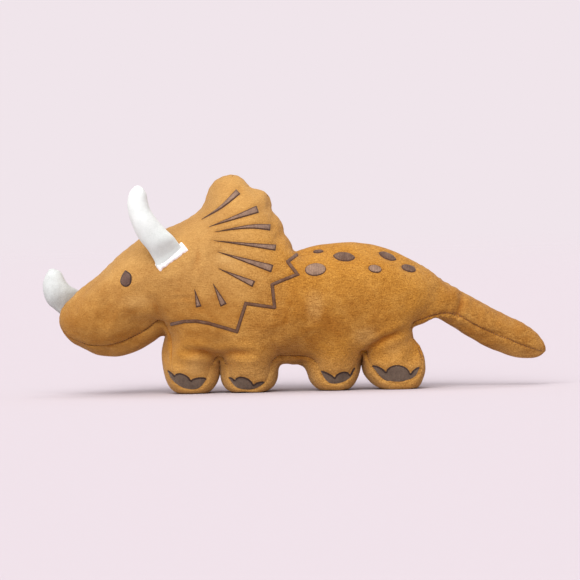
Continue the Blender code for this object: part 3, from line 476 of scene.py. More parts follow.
def inflate(obj, sewn):
    """Cloth simulation of a sewn cover with air pressed into it.

    The seams are held, gravity is off and no point moves further than the cloth's travel; the
    shape that the cloth reaches at its last frame becomes the mesh.
    """
    group = obj.vertex_groups.new(name="seams")
    group.add(sewn.tolist(), 1.0, "REPLACE")
    cloth = obj.modifiers.new("cloth", "CLOTH")
    settings = cloth.settings
    settings.quality = 6
    settings.mass = 0.2
    settings.tension_stiffness = settings.compression_stiffness = 12.0
    settings.shear_stiffness = 4.0
    settings.bending_stiffness = 0.4
    settings.vertex_group_mass = group.name
    settings.use_pressure = True
    settings.uniform_pressure_force = AIR_PRESSURE
    settings.shrink_min = CLOTH_SHRINK
    settings.effector_weights.gravity = 0.0
    scene = bpy.context.scene
    for moment in range(1, CLOTH_FRAMES + 1):
        scene.frame_set(moment)
    rest = read_points(obj)
    shaped = obj.evaluated_get(bpy.context.evaluated_depsgraph_get()).to_mesh()
    found = np.empty(len(shaped.vertices) * 3, np.float32)
    shaped.vertices.foreach_get("co", found)
    move = found.reshape(-1, 3) / MM + [CENTRE_X, 0.0, 0.0] - rest
    far = np.linalg.norm(move, axis=1)
    obj.modifiers.remove(cloth)
    obj.vertex_groups.clear()
    scene.frame_set(1)
    write_points(obj, rest + move * np.minimum(1.0, CLOTH_TRAVEL / np.maximum(far, 1e-9))[:, None])


def shape_skin(skin, back_line, seam_line):
    """Presses seams, folds and embroidery into the skin and gives it its uneven filling.

    Every term is a bell curve of the distance to a line, added along the normal.
    """
    p, n = read_points(skin), read_points(skin, "normal")
    flat = p[:, [0, 2]]
    side = smoothstep(0.12, 0.40, np.abs(n[:, 1]))
    mirrored = p * [1.0, 0.0, 1.0] - [0.0, 1.0, 0.0] * np.abs(p[:, 1:2])
    to_seam, seam_run = near(mirrored, seam_line)
    to_back, back_run = near(p, back_line)
    to_ends = np.minimum(seam_run, seam_run.max() - seam_run)
    open_seam = smoothstep(0.0, 25.0, to_ends) * (0.08 + 0.92 * smoothstep(22.0, 32.0, p[:, 2]))
    slow = lumps(p, 60.0, 3)
    full = 2.0 * math.pi
    pucker = np.sin(full * seam_run / SEAM_PUCKER + 2.4 * slow) * bell(to_seam - 2.6, 2.4) * open_seam
    pucker += 0.8 * np.sin(full * back_run / BACK_PUCKER + 3.0 * slow) * bell(to_back - 2.4, 2.6)
    rise = 0.42 * lumps(p, 44.0, 5) + 0.10 * lumps(p, 15.0, 6)
    rise += open_seam * (0.2 * bell(to_seam - 3.6, 2.2) - 0.7 * bell(to_seam, 1.0))
    gathered = bell(p[:, 0] - 128.0, 20.0)
    rise += -0.35 * bell(to_back, 1.0) + (0.18 + 0.5 * gathered) * pucker
    # Painted shade mask: the seam groove and every fold below darken the plush colour there
    crease_shade = bell(to_seam, 1.2) * 0.5 * open_seam
    for line, depth, half in FOLDS:
        gap, run = near(flat, resample(line, 1.0))
        along = run / max(run.max(), 1e-6)
        dip = bell(gap, half) * side * (0.35 + 0.65 * np.sin(math.pi * along))
        rise += -depth * dip + 0.35 * depth * bell(gap - 2.1 * half, half) * side
        crease_shade = np.maximum(crease_shade, dip * min(1.0, depth / 3.2))
    pressed = np.zeros(len(p))
    for motif in motif_lines():
        gap, run = near(flat, motif[:, :2])
        outside = gap - np.interp(run, run_along(motif[:, :2]), motif[:, 2])
        pressed = np.maximum(pressed, 1.0 - smoothstep(-0.4, 2.2, outside))
    pressed *= side
    rise -= 0.65 * pressed
    p = p + n * rise[:, None]
    p[:, 2] = np.maximum(p[:, 2], 0.0)
    write_points(skin, p)
    # Besides sinking the skin, the pressed mask paints shade round the embroidery; the crease mask only
    # paints shade
    add_attribute(skin, "pressed", pressed)
    add_attribute(skin, "crease_shade", crease_shade)
    add_attribute(skin, "nap", 0.5 * lumps(p, 26.0, 8) + 0.35 * lumps(p, 9.0, 9))


def motif_lines():
    """Centre line and half width of every embroidered shape, as rows of x, z, half width."""
    lines = []
    for tip, mid, end, half in FRILL_RAYS:
        path = smooth_path([tip, mid, end], 2.0)
        lines.append(np.column_stack([path, np.linspace(0.4, half, len(path))]))
    path = resample(COLLAR, 2.0)
    lines.append(np.column_stack([path, np.full(len(path), COLLAR_HALF)]))
    for x, z, long, high, tilt in BACK_SPOTS:
        t = np.linspace(-0.86, 0.86, 9)
        turn = math.radians(tilt)
        way = np.array([math.cos(turn), math.sin(turn)])
        lines.append(np.column_stack([[x, z] + np.outer(t * long, way), high * np.sqrt(1.0 - t * t)]))
    lines.append(np.array([(-148.0, 110.5, 0.5), (-148.0, 105.0, 3.6), (-148.0, 101.5, 5.0),
                           (-148.0, 99.0, 2.6)]))
    for nail in TOENAILS:
        top, low = nail_edges(nail, 2.0)
        lines.append(np.column_stack([(top + low) / 2, (top - low)[:, 1] / 2]))
    return lines


def nail_edges(nail, step):
    """Scalloped upper edge and smooth lower edge of a foot's nails, at the same places along x.

    Between two cusps the upper edge is the straight line plus bulge (4t(1 - t))^0.65.
    """
    cusps, bulges, lower = nail
    cusps = np.array(cusps)
    parts = []
    for a, b, bulge in zip(cusps[:-1], cusps[1:], bulges):
        t = np.linspace(0.0, 1.0, max(4, int(round((b[0] - a[0]) / step)) + 1))
        arch = bulge * (4.0 * t * (1.0 - t)) ** 0.65
        parts.append((a + (b - a) * t[:, None] + np.stack([0.0 * t, arch], axis=1))[:-1])
    top = np.concatenate(parts + [cusps[-1:]])
    low = np.interp(top[:, 0], *smooth_path(lower, 0.5).T)
    return top, np.stack([top[:, 0], np.minimum(low, top[:, 1] - 0.3)], axis=1)


def onto_skin(points, skin, side=0):
    """The points carried onto the skin and the skin's outward direction there.

    With a side, -1 for the left, they travel along Y from outside; otherwise to the nearest place.
    """
    found = []
    for lift in (0.0, 1.0):
        probe = make_object("probe", points, [], None)
        wrap = probe.modifiers.new("wrap", "SHRINKWRAP")
        wrap.target = skin
        wrap.wrap_method = "PROJECT" if side else "NEAREST_SURFACEPOINT"
        wrap.wrap_mode = "ABOVE_SURFACE"
        wrap.offset = lift * MM
        if side:
            wrap.use_project_y = True
            wrap.use_positive_direction = side < 0
            wrap.use_negative_direction = side > 0
        made_final(probe)
        found.append(read_points(probe))
        bpy.data.objects.remove(probe)
    way = found[1] - found[0]
    return found[0], way / np.maximum(np.linalg.norm(way, axis=1), 1e-9)[:, None]


def ribbon_grid(path, half):
    """Strip of points along a path, mitred at its corners, with run and edge distance for each."""
    way = unit(np.diff(path, axis=0))
    before, after = np.concatenate([way[:1], way]), np.concatenate([way, way[-1:]])
    mitre = unit(before + after)
    reach = np.minimum(1.0 / np.maximum(np.sum(mitre * after, axis=1), 0.1), 2.0)
    across = np.stack([-mitre[:, 1], mitre[:, 0]], axis=1) * (reach * half)[:, None]
    v = np.array([-1.0, -0.8, -0.45, 0.0, 0.45, 0.8, 1.0])
    grid = path[:, None, :] + across[:, None, :] * v[None, :, None]
    run = run_along(path)
    edge = half[:, None] * (1.0 - np.abs(v)[None, :])
    edge = np.minimum(edge, np.minimum(run, run[-1] - run)[:, None] * 0.7)
    return grid, np.stack([np.broadcast_to(run[:, None], edge.shape), edge], axis=-1)


def blob_grid(rim, rings=6):
    """Filled shape of points from its middle to its closed rim, with x and edge distance for each."""
    rim = np.concatenate([rim, rim[:1]])
    middle = rim[:-1].mean(axis=0)
    r = np.linspace(0.0, 1.0, rings + 1) ** 0.8
    grid = middle + (rim[:, None, :] - middle) * r[None, :, None]
    reach = np.min(np.linalg.norm(rim - middle, axis=1))
    edge = np.linalg.norm(rim[:, None, :] - grid, axis=2)
    edge = np.minimum(edge, (1.0 - r)[None, :] * reach * 1.6)
    return grid, np.stack([grid[..., 0], edge], axis=-1)


def nail_grid(nail, rows=11):
    """Patch between the two edges of a foot's nails, with x and distance from the upper edge."""
    top, low = nail_edges(nail, 0.55)
    t = np.linspace(0.0, 1.0, rows)
    grid = top[:, None, :] + (low - top)[:, None, :] * t[None, :, None]
    depth = near(grid.reshape(-1, 2), top)[0].reshape(grid.shape[:2])
    return grid, np.stack([grid[..., 0], depth], axis=-1)


def embroider(skin, looks):
    """Every embroidered shape on both sides, laid on the skin as a thin raised patch."""
    motifs = []
    for i, (tip, mid, end, half) in enumerate(FRILL_RAYS):
        path = smooth_path([tip, mid, end], 0.9)
        strip = ribbon_grid(path, np.linspace(0.45, half, len(path)))
        motifs.append(("frill_ray_%d" % (i + 1), *strip, "ray"))
    path = resample(COLLAR, 0.9)
    motifs.append(("collar_line", *ribbon_grid(path, np.full(len(path), COLLAR_HALF)), "collar"))
    a = turn_angles(40)
    for i, (x, z, long, high, tilt) in enumerate(BACK_SPOTS):
        upper = i in (0, 1, 3)
        u, v = long * np.cos(a), high * np.sign(np.sin(a)) * np.abs(np.sin(a)) ** (1.35 if upper else 1.0)
        c, s = math.cos(math.radians(tilt)), math.sin(math.radians(tilt))
        rim = np.stack([x + u * c - v * s, z + u * s + v * c], axis=1)
        # The three upper spots get a darker fill: painted shade on the top of the back
        motifs.append(("back_spot_%d" % (i + 1), *blob_grid(rim), "spot" if i in (2, 4) else "spot_shaded"))
    loop = smooth_path(EYE + EYE[:1], 1.2)[:-1]
    motifs.append(("eye", *blob_grid(loop), "eye"))
    for i, nail in enumerate(TOENAILS):
        motifs.append(("toenails_%d" % (i + 1), *nail_grid(nail), "nail"))
    flat = np.concatenate([grid.reshape(-1, 2) for _, grid, _, _ in motifs])
    for side, side_name in ((-1, "left"), (1, "right")):
        placed, way = onto_skin(on_side(flat, side), skin, side)
        first = 0
        for name, grid, uv, look in motifs:
            rows, columns = grid.shape[:2]
            mine = slice(first, first + rows * columns)
            first += rows * columns
            edge = uv[..., 1].ravel()
            lift = -PATCH_SINK + (NAIL_RISE if look == "nail" else PATCH_RISE) * smoothstep(-0.05, 0.9, edge)
            if look == "nail":
                low_edge = np.arange(rows * columns) % columns == columns - 1
                lift = np.where(low_edge, -0.3, lift - 0.35 * smoothstep(1.3, 2.1, edge))
            points = placed[mine] + way[mine] * lift[:, None]
            piece = make_object("%s_%s_satin" % (side_name, name), points, grid_faces(rows, columns),
                                looks[look])
            add_uv(piece, uv)
            weld(piece)
            if read_points(piece, "normal")[:, 1].mean() * side < 0:
                piece.data.flip_normals()
            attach(piece, "torso")
            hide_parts("%s_%s" % (side_name, name))
            "thread_dark_brown" if look == "eye" else "thread_taupe"


def stitches(name, centres, ways, ups, size, look):
    """A row of short stitches: each is a bent rod, its radius following sqrt(1 - t^4) along it."""
    length, radius = size
    t = np.linspace(-1.0, 1.0, 6)
    a = turn_angles(5)
    ways = unit(ways)
    sides = unit(np.cross(ways, ups))
    thick = radius * np.sqrt(np.maximum(1.0 - t**4, 0.04))
    arch = -1.2 * radius * t * t
    points = (centres[:, None, None, :] + ways[:, None, None, :] * (t * length / 2)[None, :, None, None]
              + ups[:, None, None, :] * (arch[:, None] + thick[:, None] * np.sin(a))[None, :, :, None]
              + sides[:, None, None, :] * (thick[:, None] * np.cos(a))[None, :, :, None])
    each = grid_faces(len(t), len(a), closed=True)
    corners = len(t) * len(a)
    shift = (np.arange(len(centres)) * corners)[:, None, None]
    caps = np.stack([np.arange(len(a))[::-1], corners - len(a) + np.arange(len(a))])
    faces = (each[None] + shift).reshape(-1, 4).tolist() + (caps[None] + shift).reshape(-1, len(a)).tolist()
    obj = make_object(name, points, faces, look)
    weld(obj, join=False)
    return obj


def sew(skin, seam_line, looks):
    """The dark stitches of both belly seams, the closing stitches and the tacks on the frill."""
    for side, side_name in ((-1, "left"), (1, "right")):
        line = resample(seam_line * [1.0, -side, 1.0], SEAM_PITCH)[3:-3]
        line = line[(line[:, 2] > SEAM_LOWEST) & (np.abs(line[:, 0] - THROAT_X) > 5.0)]
        placed, ups = onto_skin(line, skin)
        ways = np.gradient(placed, axis=0)
        piece = stitches(side_name + "_belly_seam_stitches", placed + ups * 0.1, ways, ups,
                         SEAM_STITCH, looks["seam"])
        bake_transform(piece)
        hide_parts(side_name + "_belly_seam_thread")
    x = np.linspace(*CLOSING)
    near_tail = seam_line[seam_line[:, 0] > 103.0]
    near_tail = near_tail[near_tail[:, 2] > 55.0]
    z = np.interp(x, near_tail[:, 0], near_tail[:, 2])
    y = np.interp(x, near_tail[:, 0], near_tail[:, 1])
    placed, ups = onto_skin(np.stack([x, y, z + 0.6], axis=1), skin)
    steep = np.where(np.arange(len(x)) % 2, 1.0, -0.6)
    ways = np.stack([np.full(len(x), 0.5), np.full(len(x), -0.1), steep], axis=1)
    piece = stitches("closing_stitches", placed + ups * 0.25, ways, ups, CLOSING_STITCH, looks["closing"])
    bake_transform(piece)
    placed, ups = onto_skin(np.array(FRILL_TACKS), skin)
    ways = np.array([(1.0, 0.0, 0.3), (0.3, 0.0, 1.0)])
    piece = stitches("frill_tacks", placed + ups * 0.1, ways, ups, TACK_STITCH, looks["seam"])
    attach(piece, "torso")


def horn(name, sections, tip, look, side=0, base=0.0, splay=0.0):
    """Stuffed horn cover: ellipses carried from its base to its last ring, then a rounded end.

    Near the base the cloth gathers in small waves that die away with the distance from the seam.
    """
    knots = np.array([((r[0] + f[0]) / 2, (r[1] + f[1]) / 2, (f[0] - r[0]) / 2, (f[1] - r[1]) / 2, h)
                      for r, f, h in sections])
    rows = smooth_path(knots, HORN_STEP)
    run = run_along(rows[:, :2])
    a = turn_angles(HORN_COLUMNS)
    gather = 1.0 + 0.03 * np.sin(HORN_GATHERS * a + 1.3 * side)[None, :] * np.exp(-run / 7.0)[:, None]
    spread = np.stack(np.meshgrid(a * HORN_GATHERS, run), axis=-1).reshape(-1, 2)
    gather += 0.008 * lumps(spread, 26.0, 21).reshape(len(run), -1)
    thicker = (rows[:, 4] - rows[0, 4]) * 0.55
    out = base + np.tan(splay) * run + thicker * (np.exp(-run / 24.0) if side else 0.0)
    x = rows[:, 0, None] + rows[:, 2, None] * np.cos(a) * gather
    z = rows[:, 1, None] + rows[:, 3, None] * np.cos(a) * gather
    y = side * out[:, None] + rows[:, 4, None] * np.sin(a) * gather
    body = np.stack([x, y, z], axis=-1)
    last = body[-1]
    middle = last.mean(axis=0)
    end = np.array([tip[0], middle[1] + side * 0.5, tip[1]])
    t = np.linspace(0.0, math.pi / 2, 7)[1:]
    dome = middle + (last - middle) * np.cos(t)[:, None, None] + (end - middle) * np.sin(t)[:, None, None]
    points = np.concatenate([body, dome])
    obj = make_object(name, points, grid_faces(len(points), len(a), closed=True), look)
    # Painted shade: the cover greys toward its base, where it meets the head
    low = 1.0 - smoothstep(4.0, 0.7 * run[-1], np.concatenate([run, np.full(len(t), run[-1])]))
    add_attribute(obj, "shade", np.repeat(0.1 + 0.8 * low, len(a)))
    weld(obj)
    return obj


class Value:
    """A number in a shader: arithmetic on it adds Math nodes and gives a new Value."""

    def __init__(self, look, socket):
        self.look = look
        self.socket = socket

    def math(self, operation, *others):
        """Math node of that operation, taking this value and the others."""
        return self.look.node("ShaderNodeMath", {"operation": operation}, [self, *others])

    def __add__(self, other):
        return self.math("ADD", other)

    def __sub__(self, other):
        return self.math("SUBTRACT", other)

    def __rsub__(self, other):
        return (self * -1.0) + other

    def __mul__(self, other):
        return self.math("MULTIPLY", other)

    __radd__ = __add__
    __rmul__ = __mul__

    def ramp(self, low, high):
        """0 below low, 1 above high and smooth between; low may be above high."""
        kind = {"interpolation_type": "SMOOTHSTEP"}
        return self.look.node("ShaderNodeMapRange", kind, [self, low, high, 0.0, 1.0])


class Look:
    """Builds one material's nodes around a Principled BSDF."""

    def __init__(self, name):
        self.material = bpy.data.materials.new(name)
        self.material.use_nodes = True
        self.tree = self.material.node_tree
        self.shader = self.tree.nodes["Principled BSDF"]

    def node(self, kind, settings=None, values=(), output=0):
        """Any node: its settings, then its sockets' values by position or name; gives one output."""
        made = self.tree.nodes.new(kind)
        for key, value in (settings or {}).items():
            setattr(made, key, value)
        pairs = values.items() if isinstance(values, dict) else enumerate(values)
        for key, value in pairs:
            self.put(made.inputs[key], value)
        return Value(self, made.outputs[output])

    def put(self, socket, value):
        """Links a Value to a socket, or sets a plain number or colour on it."""
        if isinstance(value, Value):
            self.tree.links.new(value.socket, socket)
        else:
            socket.default_value = value

    def set(self, **values):
        """Sets sockets of the Principled BSDF; an underscore stands for a space in their names."""
        for key, value in values.items():
            self.put(self.shader.inputs[key.replace("_", " ")], value)

    def mix(self, factor, a, b, blend="MIX"):
        """Colour between a and b."""
        settings = {"data_type": "RGBA", "blend_type": blend, "clamp_factor": True}
        return self.node("ShaderNodeMix", settings, {0: factor, 6: a, 7: b}, 2)

    def place(self, scale=(1000.0, 1000.0, 1000.0)):
        """Coordinates in millimetres, stretched by the scale."""
        where = self.node("ShaderNodeTexCoord", None, (), "Object")
        return self.node("ShaderNodeMapping", None, {"Vector": where, "Scale": scale})

    def noise(self, where, size, detail, rough):
        """Fractal noise, about -1 to 1, with lumps of that size in the coordinates' units."""
        sockets = {"Vector": where, "Scale": 1.0 / size, "Detail": detail, "Roughness": rough}
        return (self.node("ShaderNodeTexNoise", None, sockets) - 0.5) * 3.4

    def attribute(self, name):
        """The named number stored on the piece's points."""
        return self.node("ShaderNodeAttribute", {"attribute_name": name}, (), "Fac")

    def bump(self, height):
        """Normal of a surface raised by the height in millimetres."""
        return self.node("ShaderNodeBump", None, {"Strength": 1.0, "Distance": MM, "Height": height})


def colour(red, green, blue):
    """Linear colour from a colour written with 0 to 255 for each part."""
    parts = np.array([red, green, blue]) / 255.0
    linear = np.where(parts <= 0.04045, parts / 12.92, ((parts + 0.055) / 1.055) ** 2.4)
    return (*linear.tolist(), 1.0)


def plush_look():
    """Short pile: brushed patches, fine speckle, painted shade as deeper orange in creases, at seams and
    round the embroidery, painted light paling the feet.
    """
    look = Look("plush_orange_brown")
    where = look.place()
    brushed = look.place(scale=(380.0, 1000.0, 1500.0))
    fine = look.noise(where, 0.8, 2.0, 0.75)
    streak = look.noise(brushed, 1.7, 3.0, 0.65)
    tuft = look.noise(where, 1.25, 2.0, 0.65)
    long_nap = look.attribute("long_nap")
    patch = look.noise(where, 30.0, 2.0, 0.4)
    nap = look.attribute("nap")
    crease_shade = look.attribute("crease_shade")
    pressed = look.attribute("pressed")
    pale = look.attribute("pale")
    turn = nap * 0.45 + patch * 0.4
    base = look.mix(turn.ramp(-0.8, 0.8), PLUSH_DEEP, PLUSH_MID)
    base = look.mix(look.attribute("gold") + turn * 0.1, base, PLUSH_GOLD)
    base = look.mix(pale + turn * 0.15, base, PLUSH_PALE)
    # Painted shade: creases, folds and seams darkened toward deep orange
    base = look.mix(crease_shade.ramp(0.05, 0.95) * 0.7, base, PLUSH_CREASE_SHADE)
    # Painted shade: the pile round the embroidery darkened toward deep orange
    base = look.mix(pressed * 0.25, base, PLUSH_DEEP)
    grain = (fine * 0.38 + streak * 0.34 + tuft * 0.42) * long_nap
    tone = look.node("ShaderNodeCombineColor", None, [grain * 0.8 + 1.0, grain + 1.0, grain * 1.25 + 1.0])
    base = look.mix(1.0, base, tone, "MULTIPLY")
    height = fine * 0.16 + streak * 0.18 + tuft * long_nap * 0.24
    look.set(Base_Color=base, Roughness=fine * 0.03 + 0.9, Normal=look.bump(height))
    look.set(Sheen_Weight=0.3, Sheen_Roughness=0.35, Sheen_Tint=colour(255, 216, 166), Specular_IOR_Level=0.1)
    return look.material


def satin_look(name, shades, tone, line, pitch=0.8, cut=1.0):
    """Satin stitch: threads side by side across the shape, a darker ragged outline round them.

    The shades are those of the outline and of the darkest and the lightest thread; tone lies
    between the last two, and line is how wide the outline is.
    """
    look = Look(name)
    rim, dark, light = shades
    stitch = look.node("ShaderNodeUVMap", {"uv_map": "stitch"}, ())
    where = look.place()
    parts = look.tree.nodes.new("ShaderNodeSeparateXYZ")
    look.put(parts.inputs[0], stitch)
    run, edge = Value(look, parts.outputs[0]), Value(look, parts.outputs[1])
    ragged = look.noise(where, 1.3, 2.0, 0.6)
    slow = look.noise(where, 6.0, 2.0, 0.5)
    threads = (run * (2.0 * math.pi / pitch) + ragged * 1.5).math("SINE")
    border = (edge + ragged * 0.22 * cut).ramp(line + 0.25, line - 0.25)
    fill = look.mix(slow * 0.3 + tone, dark, light)
    base = look.mix(border, fill, rim)
    grain = threads * 0.12 + ragged * 0.25 + 1.0
    base = look.mix(1.0, base, look.node("ShaderNodeCombineColor", None, [grain, grain, grain]), "MULTIPLY")
    height = threads * 0.16 + ragged * 0.12
    look.set(Base_Color=base, Roughness=threads * 0.05 + 0.55, Normal=look.bump(height))
    look.set(Sheen_Weight=0.15, Sheen_Roughness=0.4, Specular_IOR_Level=0.35)
    return look.material


def thread_look(name, shade):
    """Twisted sewing thread."""
    look = Look(name)
    where = look.place()
    ply = look.noise(where, 0.7, 2.0, 0.6)
    base = look.mix(ply * 0.3 + 0.4, shade, tuple(1.5 * c for c in shade[:3]) + (1.0,))
    look.set(Base_Color=base, Roughness=ply * 0.05 + 0.7, Normal=look.bump(ply * 0.1))
    return look.material


def horn_look(name, shade, grey):
    """White short pile, a little greyer where the pile turns, and greyer toward its base as painted shade."""
    look = Look(name)
    where = look.place()
    fine = look.noise(where, 0.9, 2.0, 0.6)
    mid = look.noise(where, 5.0, 3.0, 0.5)
    base = look.mix(mid * 0.3 + fine * 0.5 + look.attribute("shade"), shade, grey)
    look.set(Base_Color=base, Roughness=fine * 0.03 + 0.9, Normal=look.bump(fine * 0.11 + mid * 0.05))
    look.set(Sheen_Weight=0.25, Sheen_Roughness=0.5, Specular_IOR_Level=0.15)
    return look.material


def floor_look():
    """Matt pale paper with a faint grain, clear far from the middle so that no edge shows."""
    look = Look("pale_paper")
    where = look.place()
    grain = look.noise(where, 0.8, 3.0, 0.6)
    base = look.mix(grain * 0.2 + 0.5, FLOOR_PALE, tuple(0.985 * c for c in FLOOR_PALE[:3]) + (1.0,))
    look.set(Base_Color=base, Roughness=0.9, Normal=look.bump(grain * 0.02), Specular_IOR_Level=0.0)
    away = look.node("ShaderNodeVectorMath", {"operation": "LENGTH"}, [where], "Value")
    clear = look.tree.nodes.new("ShaderNodeBsdfTransparent")
    blend = look.tree.nodes.new("ShaderNodeMixShader")
    look.put(blend.inputs[0], (away * MM).ramp(2.5, 0.9 * FLOOR_REACH))
    look.tree.links.new(look.shader.outputs[0], blend.inputs[1])
    look.tree.links.new(clear.outputs[0], blend.inputs[2])
    look.tree.links.new(blend.outputs[0], look.tree.nodes["Material Output"].inputs[0])
    return look.material


PLUSH_DEEP = colour(144, 92, 31)
PLUSH_MID = colour(164, 115, 49)
PLUSH_GOLD = colour(183, 128, 50)
PLUSH_PALE = colour(187, 146, 88)
# Deep orange that paints shade into creases, folds and seams
PLUSH_CREASE_SHADE = colour(141, 80, 20)
# Embroidery thread: outline, darkest and lightest
TAUPE = (colour(72, 42, 24), colour(86, 59, 42), colour(152, 122, 100))
TAUPE_COLLAR = (TAUPE[0], colour(92, 56, 30), TAUPE[2])
EYE_BROWN = (colour(52, 32, 24), colour(70, 46, 36), colour(104, 75, 62))
NAIL_TAUPE = (colour(48, 28, 16), colour(74, 58, 46), colour(118, 100, 84))
PAPER = colour(240, 229, 235)
FLOOR_PALE = tuple(0.63 * c for c in PAPER[:3]) + (1.0,)


def build_skin():
    """The plush skin of body, head and tail, stuffed and shaped."""
    skin, back_line, seam_line, sewn = cut_skin()
    inflate(skin, sewn)
    skin.modifiers.new("finer", "SUBSURF").levels = 2
    made_final(skin)
    shape_skin(skin, back_line, seam_line)
    p = read_points(skin)
    head = 1.0 - smoothstep(-52.0, 6.0, p[:, 0] + 0.35 * (130.0 - p[:, 2]))
    upper = smoothstep(60.0, 125.0, p[:, 2])
    feet = 1.0 - smoothstep(14.0, 40.0, p[:, 2])
    legs = np.zeros(len(p))
    for x in LEG_CENTRES:
        legs += np.exp(-((p[:, 0] - x) / 24.0) ** 4)
    legs *= 1.0 - smoothstep(28.0, 58.0, p[:, 2])
    hip = np.exp(-((p[:, 0] - 112.0) / 26.0) ** 2 - ((p[:, 2] - 70.0) / 24.0) ** 2)
    add_attribute(skin, "long_nap", 1.0 - 0.45 * head)
    patches = np.zeros(len(p))
    for x, z, wide, high, much in BRUSHED:
        patches += much * np.exp(-(((p[:, 0] - x) / wide) ** 2 + ((p[:, 2] - z) / high) ** 2) ** 1.5)
    frill = smoothstep(-70.0, -35.0, p[:, 0]) * (1.0 - smoothstep(-14.0, 0.0, p[:, 0]))
    frill *= smoothstep(95.0, 135.0, p[:, 2])
    flank = smoothstep(-30.0, 15.0, p[:, 0]) * (1.0 - smoothstep(95.0, 150.0, p[:, 0]))
    # The feet term in the paleness is painted light, lifting the shade on the lower legs
    add_attribute(skin, "pale", patches + 0.14 * (1.0 - flank) + 0.45 * head * upper + 0.4 * feet)
    gold = 0.9 * frill + 0.85 * legs + 0.7 * hip + 0.55 * flank * smoothstep(65.0, 120.0, p[:, 2])
    add_attribute(skin, "gold", gold)
    skin.data.materials.clear()
    skin.data.materials.append(plush_look())
    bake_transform(skin)
    sides = [side + "_panel" for side in ("body_left", "body_right", "tail_left", "tail_right")]
    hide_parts(*sides, "body_belly_gusset", "body_filling", "tail_belly_gusset", "tail_filling",
                "tail_root_skin", "tail_root_filling")
    return skin, seam_line


def hem(skin, side, look):
    """White band sewn over the base of a brow horn, with frayed edges and an ear at its upper end."""
    path = smooth_path(HEM_LINE, 0.7)
    way = unit(np.gradient(path, axis=0))
    across = np.stack([-way[:, 1], way[:, 0]], axis=1)
    rng = np.random.default_rng(31 + side)
    v = np.linspace(-1.0, 1.0, 13)
    fray = 1.0 + 0.10 * lumps(np.stack([path[:, 0], path[:, 1]], axis=1), 5.0, 33 + side)
    half = HEM_HALF * fray * (1.0 + 0.35 * smoothstep(0.9, 1.0, np.linspace(0.0, 1.0, len(path))))
    grid = path[:, None, :] + across[:, None, :] * (half[:, None] * v)[:, :, None]
    start = on_side(grid.reshape(-1, 2), side)
    placed, way = onto_skin(start, skin, side)
    rim = np.sqrt(np.maximum(1.0 - (np.abs(v) ** 3), 0.0))
    rim = np.broadcast_to(rim, grid.shape[:2]).copy()
    ends = smoothstep(0.0, 2.0, np.minimum(np.arange(len(path)), np.arange(len(path))[::-1]) * 0.7)
    rim *= ends[:, None]
    bumps = 0.22 * lumps(start, 3.0, 35) + 0.12 * rng.normal(size=len(start))
    lift = -HEM_SINK + (HEM_RISE + bumps) * rim.ravel()
    band = make_object("%s_brow_horn_hem_band" % ("left" if side < 0 else "right"),
                       placed + way * lift[:, None], grid_faces(*grid.shape[:2]), look)
    add_attribute(band, "shade", 0.15 + 0.2 * lumps(start, 4.0, 36))
    return band


def build_horns(skin, look_brow, look_nose, look_hem):
    """The nose horn and both brow horns on their own bodies, and the hems on the torso."""
    piece = horn("nose_horn_stuffed", NOSE_HORN, NOSE_HORN_TIP, look_nose)
    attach(piece, "nose_horn")
    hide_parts("nose_horn_cover", "nose_horn_filling")
    line = smooth_path(HEM_LINE, 2.0)
    for side, side_name in ((-1, "left"), (1, "right")):
        base = np.abs(onto_skin(on_side(line, side), skin, side)[0][:, 1]).mean() + 0.6
        piece = horn(side_name + "_brow_horn_stuffed", BROW_HORN, BROW_HORN_TIP, look_brow, side, base,
                     BROW_HORN_SPLAY)
        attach(piece, side_name + "_brow_horn")
        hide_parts(side_name + "_brow_horn_cover", side_name + "_brow_horn_filling")
        band = hem(skin, side, look_hem)
        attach(band, "torso")
        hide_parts(side_name + "_brow_horn_hem")


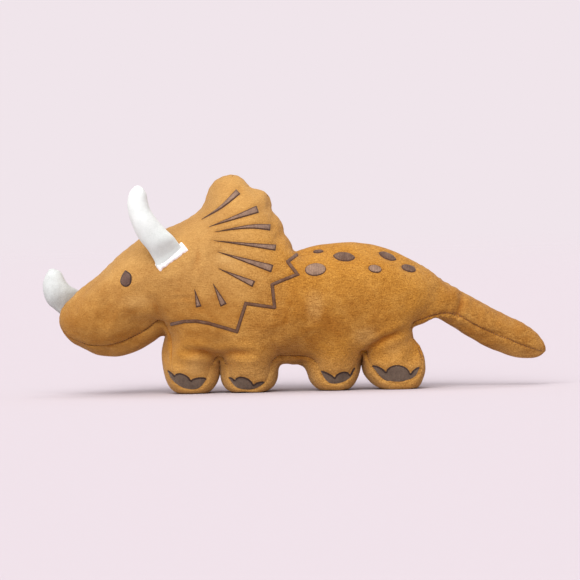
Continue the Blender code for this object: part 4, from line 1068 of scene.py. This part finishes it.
def build_stage():
    """Flat pale floor that fades into the backdrop far away, soft studio light, and the camera."""
    r = np.concatenate([[0.0], np.geomspace(0.2, FLOOR_REACH, 24)])
    a = turn_angles(96)
    points = np.stack([r[:, None] * np.cos(a), r[:, None] * np.sin(a), np.zeros((len(r), len(a)))], axis=-1)
    floor = make_object("studio_floor", points / MM, grid_faces(len(r), len(a), closed=True), floor_look())
    weld(floor)
    if read_points(floor, "normal")[:, 2].mean() < 0:
        floor.data.flip_normals()

    world = bpy.data.worlds.new("studio")
    world.use_nodes = True
    tree = world.node_tree
    back = tree.nodes["Background"]
    back.inputs["Color"].default_value = PAPER
    seen = tree.nodes.new("ShaderNodeLightPath")
    dim = tree.nodes.new("ShaderNodeMapRange")
    dim.inputs["To Min"].default_value = AMBIENT
    tree.links.new(seen.outputs["Is Camera Ray"], dim.inputs["Value"])
    tree.links.new(dim.outputs["Result"], back.inputs["Strength"])
    bpy.context.scene.world = world
    for name, strength, spread, direction in LIGHTS:
        light = bpy.data.lights.new(name, "SUN")
        light.energy = strength
        light.angle = math.radians(spread)
        lamp = bpy.data.objects.new(name, light)
        lamp.rotation_mode = "QUATERNION"
        lamp.rotation_quaternion = Vector(direction).to_track_quat("Z", "Y")
        bpy.context.scene.collection.objects.link(lamp)

    lens = bpy.data.cameras.new("camera")
    lens.lens = CAMERA_LENS
    lens.sensor_width = 36.0
    lens.clip_start, lens.clip_end = 0.05, 200.0
    camera = bpy.data.objects.new("camera", lens)
    bpy.context.scene.collection.objects.link(camera)
    a, e = CAMERA_TURN
    back = Vector((math.sin(a) * math.cos(e), -math.cos(a) * math.cos(e), math.sin(e)))
    up = Vector((math.sin(CAMERA_ROLL), 0.0, math.cos(CAMERA_ROLL)))
    right = up.cross(back).normalized()
    up = back.cross(right)
    camera.matrix_world = Matrix((right, up, back)).transposed().to_4x4()
    camera.location = Vector(CAMERA_AIM) + back * CAMERA_AWAY
    bpy.context.scene.camera = camera
    bpy.context.scene.view_settings.view_transform = "Standard"


FLOOR_REACH = 16.0
LIGHTS = [("key", 3.9, 50.0, (-0.26, -0.84, 0.72)), ("top", 1.3, 70.0, (0.0, 0.1, 1.0))]
AMBIENT = 0.48
CAMERA_LENS = 300.0
CAMERA_AWAY = 4.307
CAMERA_AIM = (-0.0039, 0.0, 0.0900)
CAMERA_TURN = (math.radians(-1.8), math.radians(1.2))
CAMERA_ROLL = math.radians(1.24)

skin, seam_line = build_skin()
looks = {
    "ray": satin_look("thread_taupe_rays", TAUPE, 0.6, 1.2, pitch=1.2),
    "collar": satin_look("thread_taupe_collar", TAUPE_COLLAR, 0.15, 0.8),
    "spot": satin_look("thread_taupe_spots", TAUPE, 0.66, 1.0, pitch=1.5),
    # Darker fill of the upper spots is painted shade
    "spot_shaded": satin_look("thread_taupe_upper_spots_shaded", TAUPE, 0.08, 1.0, pitch=1.5),
    "eye": satin_look("thread_dark_brown_eye", EYE_BROWN, 0.55, 1.3),
    "nail": satin_look("thread_taupe_nails", NAIL_TAUPE, 0.5, 1.7, pitch=1.2, cut=1.4),
    "seam": thread_look("thread_dark_brown_seams", colour(82, 48, 26)),
    "closing": thread_look("thread_brown_closing", colour(130, 80, 38)),
}
embroider(skin, looks)
sew(skin, seam_line, looks)
build_horns(skin, horn_look("plush_horn_white", colour(221, 226, 222), colour(203, 210, 205)),
            # Darker copy of the horn white: painted shade on the nose horn
            horn_look("plush_horn_white_nose_shaded", colour(194, 198, 195), colour(163, 166, 162)),
            # The hem takes a lighter copy of the horn white: painted light on a band that faces sideways and
            # down
            horn_look("plush_horn_white_hem_lit", colour(246, 243, 244), colour(222, 214, 210)))
build_stage()
